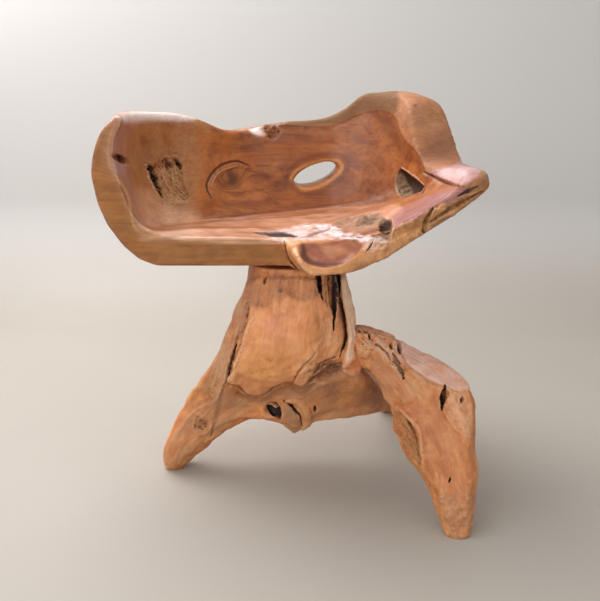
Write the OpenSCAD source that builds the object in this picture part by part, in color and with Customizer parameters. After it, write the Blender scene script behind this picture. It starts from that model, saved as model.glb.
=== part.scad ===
// Tree trunk chair: a carved trunk bowl that turns on a three-legged root base.
// Millimetres, +Z up, the sitter faces -Y. Z = 0 is the floor.
// Free forms are lofts through sections that were read off the real shape.

/* [Seat] */
// Width of the seat, from the left lobe to the tip of the horn
seat_w = 667; // [620:1:720]
// Depth of the seat, from the burl to the outside of the back
seat_d = 461; // [430:1:490]
// Thickness of the wood under the middle of the sitting hollow
seat_floor_t = 44; // [40:1:50]
// Distance of the sawn front face from the swivel axis, towards the sitter's knees
front_cut_y = 105; // [95:1:115]
// Half the length of the window through the back
window_half_length = 46; // [30:1:50]
// Half the height of the window through the back
window_half_height = 17; // [14:1:24]
// Slope of the window, rising to the right
window_tilt = 22; // [0:1:35]

/* [Hollows and clefts] */
// Depth of the hollows, clefts and cracks in the wood, as a share of their drawn depth
hollow_depth = 1; // [0.4:0.05:1.2]

/* [Root base] */
// Height of the sawn top of the stump above the floor
stump_top_z = 400; // [385:1:430]
// How far the bark plate on the front of the stump stands out
plate_swell = 16; // [0:1:22]
// How far the root tooth hangs below the stump
tooth_drop = 30; // [0:1:36]
// Depth of the flutes in the roots, as a share of the root's half width
flute = 0.05; // [0:0.01:0.08]

/* [Swivel bearing] */
// Height of the bearing, which is the gap between the stump and the seat
bearing_h = 8; // [7:0.5:10]
// Side of the square bearing plates
plate_side = 102; // [96:1:106]
// Thickness of the pressed plates
plate_t = 1.2; // [1:0.1:1.4]
// Play of the balls between the plates, up and down
ball_play = 0.4; // [0.2:0.1:0.6]
// Number of bearing balls
ball_count = 24; // [12:1:30]
// Radius of the ball circle
ball_circle_r = 34; // [33:0.5:36]
// Outer radius of the rolled eyelet that is the pivot
eyelet_r = 15; // [12:0.5:18]
// Radial running clearance of the eyelet in the upper plate
running_clear = 0.06; // [0.03:0.01:0.1]

/* [Fastenings] */
// Diameter of the wood screws
screw_d = 4; // [3.5:0.1:4.5]
// Length of the screws under the head
screw_length = 25; // [18:1:30]
// Diameter of the screw heads
screw_head_d = 8; // [7:0.1:9]
// Height of the screw heads
screw_head_h = 2.2; // [1.6:0.1:2.4]
// Diameter of the oak dowels that hold the legs
dowel_d = 16; // [12:1:18]
// Length of the dowels, half in each piece
dowel_length = 70; // [50:1:76]

/* [Hidden] */

fit_clear = 0.05;
end_clear = 0.5;
seat_underside_z = stump_top_z + bearing_h;
seat_floor_z = seat_underside_z + seat_floor_t;
ball_d = bearing_h - 2 * plate_t - ball_play;
over = 1;
reach = 600;

// The swivel axis, and the middle that the seat's sections are measured from
axis_x = -6;
axis_y = 2;
hollow_x = 0;
hollow_y = 40;
drawn_seat_w = 667;
drawn_seat_d = 461;

// Seat sections round the hollow. Angle 0 is to the sitter's left, +X, and 90 is the back.
// Heights are above the sawn underside, and the corner's is above the middle of the hollow.
// angle, foot r, belly r, belly height, rim r, rim height, rim width, wall r, wall height,
// corner r, corner rise, fullness of the outside
seat_sections = [
    [-165, 255, 354, 142, 314, 241, 24, 300, 174, 272, 13, 0.8],
    [-151, 270, 361, 144, 326, 237, 13, 331, 177, 290, 22, 0.8],
    [-145, 262, 352, 132, 330, 212, 16, 320, 152, 282, 14, 0.8],
    [-130, 240, 262, 32, 250, 62, 16, 225, 56, 200, 6, 0.6],
    [-110, 232, 222, 24, 195, 47, 14, 170, 45, 140, 1, 0.5],
    [-90, 229, 214, 22, 178, 45, 14, 152, 44, 115, 0, 0.5],
    [-72, 222, 212, 20, 174, 47, 14, 150, 45, 120, 0, 0.5],
    [-60, 196, 212, 16, 190, 51, 14, 166, 48, 138, 2, 0.4],
    [-50, 160, 224, 26, 216, 63, 14, 194, 59, 166, 10, 0.4],
    [-41, 138, 242, 47, 236, 77, 14, 214, 72, 188, 21, 0.3],
    [-30, 122, 274, 78, 264, 103, 16, 240, 96, 212, 41, 0.3],
    [-20, 114, 303, 101, 298, 130, 26, 262, 120, 232, 60, 0.3],
    [-13, 112, 326, 122, 322, 149, 46, 266, 135, 236, 69, 0.3],
    [-5, 114, 314, 122, 306, 154, 62, 238, 138, 222, 67, 0.35],
    [5, 118, 306, 122, 300, 157, 72, 226, 137, 212, 62, 0.4],
    [12, 120, 303, 124, 300, 165, 76, 222, 142, 208, 56, 0.4],
    [17, 122, 302, 132, 290, 214, 74, 220, 158, 204, 51, 0.45],
    [22, 124, 300, 137, 283, 256, 70, 219, 164, 201, 46, 0.45],
    [30, 126, 294, 138, 281, 272, 62, 215, 164, 195, 38, 0.5],
    [38, 128, 286, 137, 274, 278, 52, 211, 162, 188, 31, 0.5],
    [48, 130, 272, 134, 262, 277, 44, 203, 154, 178, 24, 0.55],
    [57, 131, 260, 130, 250, 272, 40, 195, 144, 170, 19, 0.6],
    [64, 132, 250, 126, 238, 250, 38, 188, 137, 164, 16, 0.6],
    [72, 134, 242, 122, 228, 232, 36, 182, 132, 158, 14, 0.6],
    [85, 136, 234, 118, 214, 223, 35, 174, 128, 144, 11, 0.6],
    [100, 138, 232, 116, 212, 221, 34, 172, 127, 136, 9, 0.6],
    [115, 145, 242, 116, 225, 212, 34, 184, 132, 131, 8, 0.6],
    [130, 155, 260, 118, 245, 206, 34, 204, 137, 136, 8, 0.65],
    [140, 165, 278, 120, 262, 224, 34, 222, 144, 148, 8, 0.7],
    [152, 182, 302, 124, 288, 239, 36, 246, 154, 172, 8, 0.7],
    [166, 206, 328, 130, 306, 243, 35, 268, 162, 212, 9, 0.75],
    [180, 236, 346, 137, 314, 244, 32, 288, 169, 254, 11, 0.8]
];
seat_steps = 3;
outer_steps = 5;
rim_steps = 4;
wall_steps = 4;
floor_steps = 3;
rim_round = 9;
floor_ring = 0.68;

// The cut at the sawn face stops at this edge, and the burl stands out in front past it.
// x and height above the sawn underside, from the top down
burl_edge = [[-26, 60], [-25, 28], [-21, 15], [-13, 6], [-4, 0]];
// Slant of the burl's side, in degrees to the right
burl_flare = 17;

// Middle of the window through the back, and its height above the sawn underside
window_x = 29;
window_rise = 120;

// Hollows in the wood: the middle of the mouth, how far the mouth is turned and tilted from straight
// forward, depth, the share of the mouth that the bottom keeps, and the mouth's outline, clockwise.
// Heights on the seat are above its sawn underside.
// A cutter starts this far in front of its mouth, and a cleft's outline ends this far up
hollow_reach = 30;
cleft_top = 150;
seat_hollows = [
    // The torn pocket in the left lobe, and the slit in the lobe's front edge
    [[-242, 105, 123], 52, 20, 11, 0.75,
        [[42, 44], [52, 31], [34, -8], [34, -45], [-24, -43], [-40, -12], [-44, 17], [-14, 31]]],
    [[-292, -50, 168], 85, 0, 9, 0.35, [[-56, 13], [2, 6], [70, -10], [54, -14], [-13, -4]]],
    // The three sided pocket at the foot of the right wall
    [[199, 111, 111], -68, 35, 12, 0.6,
        [[-30, 20], [6, 15], [63, -2], [72, -14], [54, -24], [-2, -22], [-32, -4]]],
    // Hollow, hole and crack at the front of the floor
    [[96, -16, 58], -90, 76, 6, 0.7,
        [[-2, -45], [-69, -24], [-69, 5], [-30, 42], [21, 47], [74, 30], [69, 0], [44, -26]]],
    [[139, -88, 64], -80, 70, 13, 0.6,
        [[-46, 6], [-44, 19], [9, 13], [34, -2], [34, -12], [10, -14]]],
    [[-33, -51, 45], 0, 90, 8, 0.5,
        [[-48, 16], [-17, 10], [13, 16], [30, -7], [14, -18], [-16, -8]]],
    // The sunk middle of the burl, and the slot under the horn
    [[46, -154, 30], 5, 50, 8, 0.8,
        [[-46, 23], [-12, 30], [27, 31], [53, 21], [45, 4], [22, -15], [-8, -25], [-31, -21],
        [-44, -8]]],
    [[274, -67, 116], 25, 20, 8, 0.4, [[-20, -7], [-2, 4], [22, 9], [5, -3]]]
];
stump_hollows = [
    // The three clefts that run down from the sawn top
    [[33, -90, 366], 25, 5, 15, 0.6, [[-5, cleft_top], [3, cleft_top], [6, 6], [4, -15], [-2, 0]]],
    [[55, -82, 347], 38, 5, 20, 0.6,
        [[11, cleft_top], [12, 15], [5, -18], [-1, -49], [-6, -19], [-6, 14], [-6, cleft_top]]],
    [[73, -68, 326], 38, 5, 17, 0.6,
        [[8, cleft_top], [4, 20], [9, -19], [4, -51], [-8, -79], [-9, -50], [-9, -18], [-8, 19],
            [-5, cleft_top]]],
    // The groove and the crack along the left edge of the bark plate
    [[-101, -84, 278], -62, 14, 11, 0.7,
        [[-8, 97], [-1, 62], [7, 26], [-2, -13], [-10, -60], [-20, -84], [-36, -84], [-38, -57],
        [-28, -16], [-17, 27], [-20, 65], [-28, 95]]],
    [[-118, -70, 234], -62, 14, 16, 0.5,
        [[8, 36], [11, 14], [5, -13], [-4, -38], [-11, -38], [-11, -16], [-7, 10]]],
    // The recess under the plate, the hole beside the tooth, and the tooth's dark line
    [[46, -78, 219], 20, -25, 9, 0.6,
        [[-44, -24], [-20, -2], [7, 19], [26, 20], [33, -2], [25, -22], [-9, -25]]],
    [[-52, -32, 131], -5, 0, 14, 0.6, [[-14, 4], [-1, 14], [14, 5], [14, -9], [2, -15], [-13, -8]]],
    [[-9, -36, 131], 5, -10, 8, 0.6, [[-18, 22], [-4, 15], [7, 1], [12, -31], [5, -14], [-7, 2]]]
];
right_leg_hollows = [
    [[235, -145, 196], -22, 22, 14, 0.6, [[1, 20], [7, 12], [4, -8], [-1, -20], [-6, -6], [-5, 11]]]
];

// Root sections from the stump's top down its left leg to the sole.
// left x, left z, right x, right z, middle y, front depth, back depth, lean
stump_sections = [
    [-88, 400, 75, 400, 3, 95, 92, 0],
    [-92, 362, 82, 362, 3, 98, 94, 0],
    [-116, 308, 93, 312, 2, 104, 98, 0],
    [-133, 262, 106, 275, 2, 106, 100, 0],
    [-150, 224, 116, 240, 4, 98, 100, 0],
    [-165, 198, 132, 208, 6, 84, 100, 0],
    [-177, 180, 150, 182, 10, 72, 98, 0],
    [-186, 167, 167, 158, 13, 62, 92, 0],
    [-192, 158, 173, 130, 16, 55, 86, 0],
    [-197, 150, 132, 110, 17, 50, 78, 0],
    [-202, 143, 52, 100, 18, 47, 68, 0],
    [-207, 134, -8, 100, 18, 44, 58, 0],
    [-215, 121, -66, 106, 17, 42, 50, 0],
    [-226, 103, -110, 93, 16, 40, 45, 0],
    [-238, 81, -144, 71, 15, 38, 40, 0],
    [-247, 59, -167, 49, 14, 36, 37, 0],
    [-253, 37, -190, 29, 14, 32, 33, 0],
    [-256, 17, -209, 13, 14, 26, 27, 0],
    [-253, 0, -221, 0, 14, 17, 18, 0]
];
right_leg_sections = [
    [80, 214, 84, 286, -24, 44, 44, 0],
    [108, 214, 116, 284, -27, 46, 44, 0],
    [128, 204, 152, 276, -38, 48, 42, 0],
    [143, 184, 192, 254, -54, 50, 42, 6],
    [155, 162, 236, 236, -72, 50, 42, 14],
    [158, 140, 266, 220, -90, 50, 42, 22],
    [166, 116, 284, 194, -110, 48, 42, 30],
    [181, 90, 289, 164, -134, 44, 40, 36],
    [201, 68, 286, 116, -164, 38, 38, 36],
    [214, 48, 285, 76, -190, 33, 34, 32],
    [221, 25, 280, 36, -212, 27, 30, 20],
    [230, 0, 271, 0, -226, 20, 24, 0]
];
back_leg_sections = [
    [26, 188, 112, 188, 44, 42, 42, -72],
    [62, 186, 148, 182, 96, 42, 42, -66],
    [104, 168, 190, 164, 156, 40, 42, -54],
    [136, 130, 220, 126, 214, 36, 40, -38],
    [156, 82, 230, 79, 260, 31, 36, -24],
    [167, 36, 228, 35, 288, 26, 30, -12],
    [175, 0, 219, 0, 300, 20, 22, 0]
];
stump_around = 52;
leg_around = 32;
stump_steps = 3;
leg_steps = 3;
section_square = 0.78;
flute_count = 9;
right_flute_count = 6;
back_flute_count = 5;
flute_turn = 40;
fine_flutes_more = 4;
fine_flute_share = 0.6;
fine_flute_turn = 70;

// The bark plate on the front of the stump, and the tooth under it
plate_middle = [-34, 285];
plate_half = [82, 98];
tooth_middle = [-10, -28, 104];
tooth_half = [28, 44, 34];

// The faces where the legs are let into the stump
leg_joint_x = 92;
leg_joint_top_z = 292;
leg_joint_knee = [98, 222];
leg_joint_toe = [160, 150];
leg_joint_foot_z = 60;
leg_dowel_y = -24;
leg_dowel_z = 250;
leg_dowel_x = lerp(leg_joint_x, leg_joint_knee[0],
    (leg_joint_top_z - leg_dowel_z) / (leg_joint_top_z - leg_joint_knee[1]));
leg_dowel_gap = 34;
back_joint = [82, 68, 184];
back_joint_angle = 53;
back_joint_top_z = 280;
back_dowel_gap = 34;

// Bearing between the stump's top and the seat's underside
dish = 1.8;
dish_slope = 3;
dish_land = 1;
dish_margin = 8;
dish_r = eyelet_r + dish_margin;
race_wall = 1.2;
race_gap = 0.5;
race_share = 0.6;
race_h = race_share * (bearing_h - 2 * plate_t);
eyelet_wall = 1.4;
eyelet_flange = 3;
eyelet_flange_t = 1;
hole_edge = 8;
hole_spacing = plate_side - 2 * hole_edge;
pilot_depth = screw_length - plate_t + end_clear;

function lerp(a, b, t) = a + (b - a) * t;
function bump(d) = abs(d) < 1 ? pow(cos(90 * d), 2) : 0;
function power(v, e) = sign(v) * pow(abs(v), e);
function curve(a, b, c, d, t) =
    0.5 * (2 * b + (c - a) * t + (2 * a - 5 * b + 4 * c - d) * t * t
    + (3 * b - a - 3 * c + d) * t * t * t);

// Row i of a closed table of sections, whose first column is an angle
function turn_row(t, i) = let (n = len(t), k = (i % n + n) % n, turns = floor(i / n))
    [for (c = [0:len(t[0]) - 1]) t[k][c] + (c == 0 ? 360 * turns : 0)];
function closed_rows(t, steps) = [
    for (i = [0:len(t) - 1])
    for (s = [0:steps - 1])
    curve(turn_row(t, i - 1), turn_row(t, i), turn_row(t, i + 1), turn_row(t, i + 2), s / steps)
];
function open_row(t, i) = i < 0 ? 2 * t[0] - t[1]
    : i > len(t) - 1 ? 2 * t[len(t) - 1] - t[len(t) - 2]
    : t[i];
function open_rows(t, steps) = concat(
    [for (i = [0:len(t) - 2])
     for (s = [0:steps - 1])
     curve(open_row(t, i - 1), t[i], t[i + 1], open_row(t, i + 2), s / steps)],
    [t[len(t) - 1]]
);

// A quarter of a round outside, from a to b, flattened towards the straight line between them
function flank(a, b, full, upward, t) = let (
    round_point = upward
        ? [lerp(b[0], a[0], cos(90 * t)), lerp(a[1], b[1], sin(90 * t))]
        : [lerp(a[0], b[0], sin(90 * t)), lerp(b[1], a[1], cos(90 * t))]
) lerp(lerp(a, b, t), round_point, full);

// The seat's section at one angle, from the sawn underside over the rim to the floor
function seat_profile(q) = let (
    rim_e = min(rim_round, q[6] / 2),
    foot = [q[1], seat_underside_z],
    belly = [q[2], seat_underside_z + q[3]],
    lip_out = [q[4], seat_underside_z + q[5] - rim_e],
    lip_in = [q[4] - q[6], seat_underside_z + q[5] - rim_e],
    wall = [q[7], seat_underside_z + q[8]],
    middle = [0, seat_floor_z],
    corner = [q[9], seat_floor_z + q[10]],
    floor_in = [floor_ring * corner[0], (corner[1] + seat_floor_z) / 2],
    inner = [lip_in + [q[6] / 2, 2 * rim_e], lip_in, wall, corner, floor_in, middle,
        [-floor_in[0], floor_in[1]]]
) concat(
    [for (s = [0:outer_steps - 1]) flank(foot, belly, q[11], false, s / outer_steps)],
    [for (s = [0:outer_steps - 1]) flank(belly, lip_out, q[11], true, s / outer_steps)],
    [for (s = [0:rim_steps - 1]) let (a = 180 * s / rim_steps)
     [q[4] - q[6] / 2 + q[6] / 2 * cos(a), lip_out[1] + rim_e * sin(a)]],
    [for (k = [0:1]) for (s = [0:wall_steps - 1])
     curve(inner[k], inner[k + 1], inner[k + 2], inner[k + 3], s / wall_steps)],
    [for (k = [2:3]) for (s = [0:floor_steps - 1])
     curve(inner[k], inner[k + 1], inner[k + 2], inner[k + 3], s / floor_steps)]
);
seat_rows = closed_rows(seat_sections, seat_steps);
seat_profiles = [for (q = seat_rows) seat_profile(q)];
seat_around = len(seat_rows);
seat_rings = len(seat_profiles[0]);
seat_points = concat(
    [for (k = [0:seat_rings - 1]) for (i = [0:seat_around - 1])
     let (p = seat_profiles[i][k], a = seat_rows[i][0])
     [hollow_x + seat_w / drawn_seat_w * p[0] * cos(a),
      hollow_y + seat_d / drawn_seat_d * p[0] * sin(a), p[1]]],
    [[hollow_x, hollow_y, seat_floor_z]]
);

// Triangles between ring k and ring k + 1 of n points, outside in clockwise order
function band(k, n) = [
    for (i = [0:n - 1]) let (j = (i + 1) % n)
    for (f = [[k * n + i, (k + 1) * n + i, (k + 1) * n + j], [k * n + i, (k + 1) * n + j, k * n + j]])
    f
];
function bands(rings, n) = [for (k = [0:rings - 2]) for (f = band(k, n)) f];

// One root section as points, with the root's flutes running along it
function root_ring(q, n, flutes, fade) = let (
    middle = [(q[0] + q[2]) / 2, q[4], (q[1] + q[3]) / 2],
    across = [(q[2] - q[0]) / 2, 0, (q[3] - q[1]) / 2],
    back = [0, cos(q[7]), -sin(q[7])]
) [
    for (i = [0:n - 1]) let (
        a = -360 * i / n,
        broad = cos(flutes * a + flute_turn),
        fine = cos((flutes + fine_flutes_more) * a - fine_flute_turn),
        wave = 1 + flute * fade * (broad + fine_flute_share * fine),
        depth = sin(a) > 0 ? q[6] : q[5]
    )
    middle + wave * across * power(cos(a), section_square)
        + wave * depth * back * power(sin(a), section_square)
];
// Bark plate and tooth, which stand out from the stump's own section
function dressed(p) = let (
    plate = p[1] < 0 ? bump((p[0] - plate_middle[0]) / plate_half[0])
        * bump((p[2] - plate_middle[1]) / plate_half[1]) : 0,
    tooth = bump((p[0] - tooth_middle[0]) / tooth_half[0])
        * bump((p[1] - tooth_middle[1]) / tooth_half[1]) * bump((p[2] - tooth_middle[2]) / tooth_half[2])
) p + [0, -plate_swell * sqrt(plate), -tooth_drop * tooth];
function root_points(t, steps, n, flutes) = let (rows = open_rows(t, steps), last = len(rows) - 1) [
    for (k = [0:last])
    for (p = root_ring(rows[k], n, flutes, sin(180 * k / last)))
    p
];
// The stump is cut to its height, so the top section moves with it
stump_table = [
    for (k = [0:len(stump_sections) - 1]) let (q = stump_sections[k])
    k == 0 ? [q[0], stump_top_z, q[2], stump_top_z, q[4], q[5], q[6], q[7]] : q
];
stump_points = [for (p = root_points(stump_table, stump_steps, stump_around, flute_count)) dressed(p)];
right_leg_points = root_points(right_leg_sections, leg_steps, leg_around, right_flute_count);
back_leg_points = root_points(back_leg_sections, leg_steps, leg_around, back_flute_count);

// The origin is under the middle of the whole chair
seat_seen = [for (p = seat_points) if (p[1] > -front_cut_y || p[0] > burl_edge[0][0]) p];
all_seen = concat(seat_seen, stump_points, right_leg_points, back_leg_points);
centre_x = (min([for (p = all_seen) p[0]]) + max([for (p = all_seen) p[0]])) / 2;
centre_y = (min([for (p = all_seen) p[1]]) + max([for (p = all_seen) p[1]])) / 2;
echo(centre = [centre_x, centre_y]);

module placed() {
    translate([-centre_x, -centre_y, 0]) children();
}

module root(points, n) {
    rings = len(points) / n;
    polyhedron(
        points = points,
        faces = concat(
            [[for (i = [0:n - 1]) n - 1 - i]],
            bands(rings, n),
            [[for (i = [0:n - 1]) (rings - 1) * n + i]]
        ),
        convexity = 8
    );
}

module seat_blank() {
    apex = seat_rings * seat_around;
    last = (seat_rings - 1) * seat_around;
    polyhedron(
        points = seat_points,
        faces = concat(
            [[for (i = [0:seat_around - 1]) i]],
            bands(seat_rings, seat_around),
            [for (i = [0:seat_around - 1]) [last + i, apex, last + (i + 1) % seat_around]]
        ),
        convexity = 10
    );
}

// Screw places at the corners of the bearing plates
module at_plate_corners() {
    translate([axis_x, axis_y, 0])
        for (a = [0:90:270])
            rotate(a)
                translate([hole_spacing / 2, hole_spacing / 2, 0])
                    children();
}

module window_cut() {
    translate([window_x, hollow_y, seat_underside_z + window_rise])
        rotate([90, window_tilt, 180])
            linear_extrude(reach / 2)
                polygon([for (a = [0:15:345])
                    [window_half_length * cos(a), window_half_height * sin(a)]]);
}

// What the saw took off in front of the sawn face, as far as the burl's flared edge
module sawn_face_cut() {
    last = len(burl_edge) - 1;
    outline = concat(
        [[-reach, reach], [burl_edge[0][0], reach]],
        burl_edge,
        [[burl_edge[last][0], -reach], [-reach, -reach]]
    );
    intersection() {
        translate([-reach, -front_cut_y - reach, 0])
            cube([2 * reach, reach, 2 * reach]);
        translate([0, -front_cut_y, seat_underside_z])
            rotate([90, 0, burl_flare])
                linear_extrude(2 * reach, center = true)
                    polygon([for (q = outline) [q[0] * cos(burl_flare), q[1]]]);
    }
}

// Faces across a ring of n points, in strips between its two sides, which suits bent outlines too
function strips(first, n) = concat(
    [for (i = [0:floor(n / 2) - 2]) [first + i, first + i + 1, first + n - 2 - i, first + n - 1 - i]],
    n % 2 == 0 ? [] : [[first + floor(n / 2) - 1, first + floor(n / 2), first + floor(n / 2) + 1]]
);
function turned_over(faces) = [for (f = faces) [for (i = [0:len(f) - 1]) f[len(f) - 1 - i]]];

// A hollow, its mouth open outwards and its bottom smaller
module hollow(turn, tilt, depth, bottom, mouth) {
    n = len(mouth);
    rotate([90 - tilt, 0, turn])
        polyhedron(
            points = concat(
                [for (q = mouth) [q[0], q[1], hollow_reach]],
                [for (q = mouth) [q[0], q[1], 0]],
                [for (q = mouth) [bottom * q[0], bottom * q[1], -hollow_depth * depth]]
            ),
            faces = concat(strips(0, n), bands(3, n), turned_over(strips(2 * n, n))),
            convexity = 4
        );
}

module hollows(table) {
    for (h = table)
        translate(h[0])
            hollow(h[1], h[2], h[3], h[4], h[5]);
}

// The seat's hollows keep their places when its width, depth or height changes
module placed_seat_hollows() {
    for (h = seat_hollows)
        translate([
            hollow_x + seat_w / drawn_seat_w * (h[0][0] - hollow_x),
            hollow_y + seat_d / drawn_seat_d * (h[0][1] - hollow_y),
            seat_underside_z + h[0][2]
        ])
            hollow(h[1], h[2], h[3], h[4], h[5]);
}

module seat_bowl() {
    color([0.62, 0.37, 0.22])
        difference() {
            seat_blank();
            sawn_face_cut();
            window_cut();
            placed_seat_hollows();
            at_plate_corners()
                translate([0, 0, seat_underside_z - over])
                    cylinder(h = pilot_depth + over, d = screw_d + 2 * fit_clear, $fn = 24);
        }
}

// A pressed plate with its flat side on z = 0, a dished middle and its race side up
module plate_body(bore_r) {
    difference() {
        union() {
            difference() {
                translate([-plate_side / 2, -plate_side / 2, 0])
                    cube([plate_side, plate_side, plate_t]);
                translate([0, 0, -over])
                    cylinder(h = plate_t + 2 * over, r = dish_r, $fn = 96);
            }
            rotate_extrude($fn = 96)
                polygon([
                    [bore_r, dish], [dish_r - dish_slope, dish], [dish_r, 0],
                    [dish_r + dish_land, 0], [dish_r + dish_land, plate_t],
                    [dish_r + dish_land / 2, plate_t],
                    [dish_r + dish_land / 2 - dish_slope, dish + plate_t],
                    [bore_r, dish + plate_t]
                ]);
        }
        for (a = [0:90:270])
            rotate(a)
                translate([hole_spacing / 2, hole_spacing / 2, -over])
                    cylinder(h = plate_t + 2 * over, d = screw_d + 2 * fit_clear, $fn = 24);
    }
}

module race_ring(inner_r) {
    rotate_extrude($fn = 96)
        translate([inner_r, plate_t])
            square([race_wall, race_h]);
}

module upper_bearing_plate() {
    color([0.66, 0.66, 0.64])
        translate([axis_x, axis_y, seat_underside_z])
            mirror([0, 0, 1])
                union() {
                    plate_body(eyelet_r + running_clear);
                    race_ring(ball_circle_r + ball_d / 2 + race_gap);
                }
}

module lower_bearing_plate() {
    color([0.6, 0.6, 0.59])
        translate([axis_x, axis_y, stump_top_z])
            union() {
                plate_body(eyelet_r + running_clear);
                race_ring(ball_circle_r - ball_d / 2 - race_gap - race_wall);
            }
}

module bearing_balls() {
    color([0.8, 0.8, 0.8])
        translate([axis_x, axis_y, stump_top_z + plate_t + ball_d / 2])
            for (i = [0:ball_count - 1])
                rotate(360 * i / ball_count)
                    translate([ball_circle_r, 0, 0])
                        sphere(d = ball_d, $fn = 24);
}

// Rolled eyelet: its flanges trap the dished middles of both plates
module bearing_eyelet() {
    low = stump_top_z + dish;
    high = seat_underside_z - dish;
    color([0.75, 0.68, 0.5])
        translate([axis_x, axis_y, 0])
            rotate_extrude($fn = 96)
                polygon([
                    [eyelet_r - eyelet_wall, low - eyelet_flange_t],
                    [eyelet_r + eyelet_flange, low - eyelet_flange_t],
                    [eyelet_r + eyelet_flange, low], [eyelet_r, low],
                    [eyelet_r, high + fit_clear], [eyelet_r + eyelet_flange, high + fit_clear],
                    [eyelet_r + eyelet_flange, high + eyelet_flange_t],
                    [eyelet_r - eyelet_wall, high + eyelet_flange_t]
                ]);
}

// Pan-head wood screw, head at z <= 0 and shank upwards
module wood_screw() {
    tip = screw_d;
    translate([0, 0, -screw_head_h])
        cylinder(h = screw_head_h, d = screw_head_d, $fn = 32);
    cylinder(h = screw_length - tip, d = screw_d, $fn = 24);
    translate([0, 0, screw_length - tip])
        cylinder(h = tip, d1 = screw_d, d2 = screw_d / 4, $fn = 24);
}

module upper_plate_screws() {
    color([0.5, 0.5, 0.5])
        at_plate_corners()
            translate([0, 0, seat_underside_z - plate_t])
                wood_screw();
}

module lower_plate_screws() {
    color([0.5, 0.5, 0.5])
        at_plate_corners()
            translate([0, 0, stump_top_z + plate_t])
                mirror([0, 0, 1])
                    wood_screw();
}

// The stump's side of the stepped joint with the right leg, as a plate across the chair
module right_joint(side_x) {
    translate([0, reach / 2, 0])
        rotate([90, 0, 0])
            linear_extrude(reach)
                polygon([
                    [leg_joint_x, leg_joint_top_z], leg_joint_knee, leg_joint_toe,
                    [leg_joint_toe[0], leg_joint_foot_z], [side_x, leg_joint_foot_z],
                    [side_x, leg_joint_top_z]
                ]);
}

// The half of space on one side of the back leg's joint: 1 is the leg's side, -1 the stump's
module back_joint_half(side, top_z) {
    translate([back_joint[0], back_joint[1], 0])
        rotate(back_joint_angle)
            translate([side > 0 ? 0 : -reach, -reach / 2, -over])
                cube([reach, reach, top_z + over]);
}

module right_dowel_places() {
    for (s = [-1, 1])
        translate([leg_dowel_x, leg_dowel_y + s * leg_dowel_gap / 2, leg_dowel_z])
            rotate([0, 90, 0])
                children();
}

module back_dowel_places() {
    for (s = [-1, 1])
        translate(back_joint)
            rotate(back_joint_angle)
                translate([0, s * back_dowel_gap / 2, 0])
                    rotate([0, 90, 0])
                        children();
}

module dowel() {
    translate([0, 0, -dowel_length / 2])
        cylinder(h = dowel_length, d = dowel_d, $fn = 48);
}

module dowel_bore() {
    translate([0, 0, -dowel_length / 2 - end_clear])
        cylinder(h = dowel_length + 2 * end_clear, d = dowel_d + 2 * fit_clear, $fn = 48);
}

module root_stump() {
    color([0.74, 0.46, 0.27])
        difference() {
            root(stump_points, stump_around);
            hollows(stump_hollows);
            right_joint(reach);
            back_joint_half(1, back_joint_top_z);
            right_dowel_places()
                dowel_bore();
            back_dowel_places()
                dowel_bore();
            at_plate_corners()
                translate([0, 0, stump_top_z - pilot_depth])
                    cylinder(h = pilot_depth + over, d = screw_d + 2 * fit_clear, $fn = 24);
        }
}

module right_root_leg() {
    color([0.72, 0.42, 0.24])
        difference() {
            root(right_leg_points, leg_around);
            hollows(right_leg_hollows);
            right_joint(-reach);
            right_dowel_places()
                dowel_bore();
        }
}

module right_leg_dowels() {
    color([0.8, 0.66, 0.45])
        right_dowel_places()
            dowel();
}

module back_root_leg() {
    color([0.7, 0.43, 0.26])
        difference() {
            root(back_leg_points, leg_around);
            back_joint_half(-1, reach);
            back_dowel_places()
                dowel_bore();
        }
}

module back_leg_dowels() {
    color([0.8, 0.66, 0.45])
        back_dowel_places()
            dowel();
}

placed() seat_bowl();
placed() upper_bearing_plate();
placed() upper_plate_screws();
placed() bearing_balls();
placed() bearing_eyelet();
placed() lower_bearing_plate();
placed() lower_plate_screws();
placed() root_stump();
placed() right_root_leg();
placed() right_leg_dowels();
placed() back_root_leg();
placed() back_leg_dowels();
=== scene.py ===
import math

import bmesh
import bpy
import numpy as np
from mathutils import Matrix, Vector, noise


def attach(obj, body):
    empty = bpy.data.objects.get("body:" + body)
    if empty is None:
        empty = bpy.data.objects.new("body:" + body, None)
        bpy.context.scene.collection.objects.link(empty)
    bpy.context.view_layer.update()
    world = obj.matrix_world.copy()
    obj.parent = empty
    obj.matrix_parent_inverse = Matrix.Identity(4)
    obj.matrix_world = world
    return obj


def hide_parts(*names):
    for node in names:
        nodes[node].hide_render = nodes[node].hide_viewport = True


# Tree trunk chair: a carved trunk bowl that turns on a base of root wood.
# Metres, +Z up, the sitter faces -Y. Pixels are those of the 600 x 601 photograph.

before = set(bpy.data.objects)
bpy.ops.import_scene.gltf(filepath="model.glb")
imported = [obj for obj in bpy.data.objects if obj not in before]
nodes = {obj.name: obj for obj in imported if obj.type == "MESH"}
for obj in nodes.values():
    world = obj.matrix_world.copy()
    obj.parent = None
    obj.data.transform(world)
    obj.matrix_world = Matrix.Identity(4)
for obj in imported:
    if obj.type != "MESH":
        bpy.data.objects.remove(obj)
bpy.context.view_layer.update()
noiseSeed = 7
noise.seed_set(noiseSeed)  # the waves in the grain come out the same in every run
print("frame loaded:", len(nodes), "nodes")


# Camera, where the photograph was taken from

cameraSettings = {
    "place": (0.0146, -1.413, 0.670),
    "tiltDown": math.radians(14.07),
    "lens": 48.0,
    "sensor": 36.0,
    "near": 0.05,
    "far": 60,
    "picture": (600, 601),
}


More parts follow.
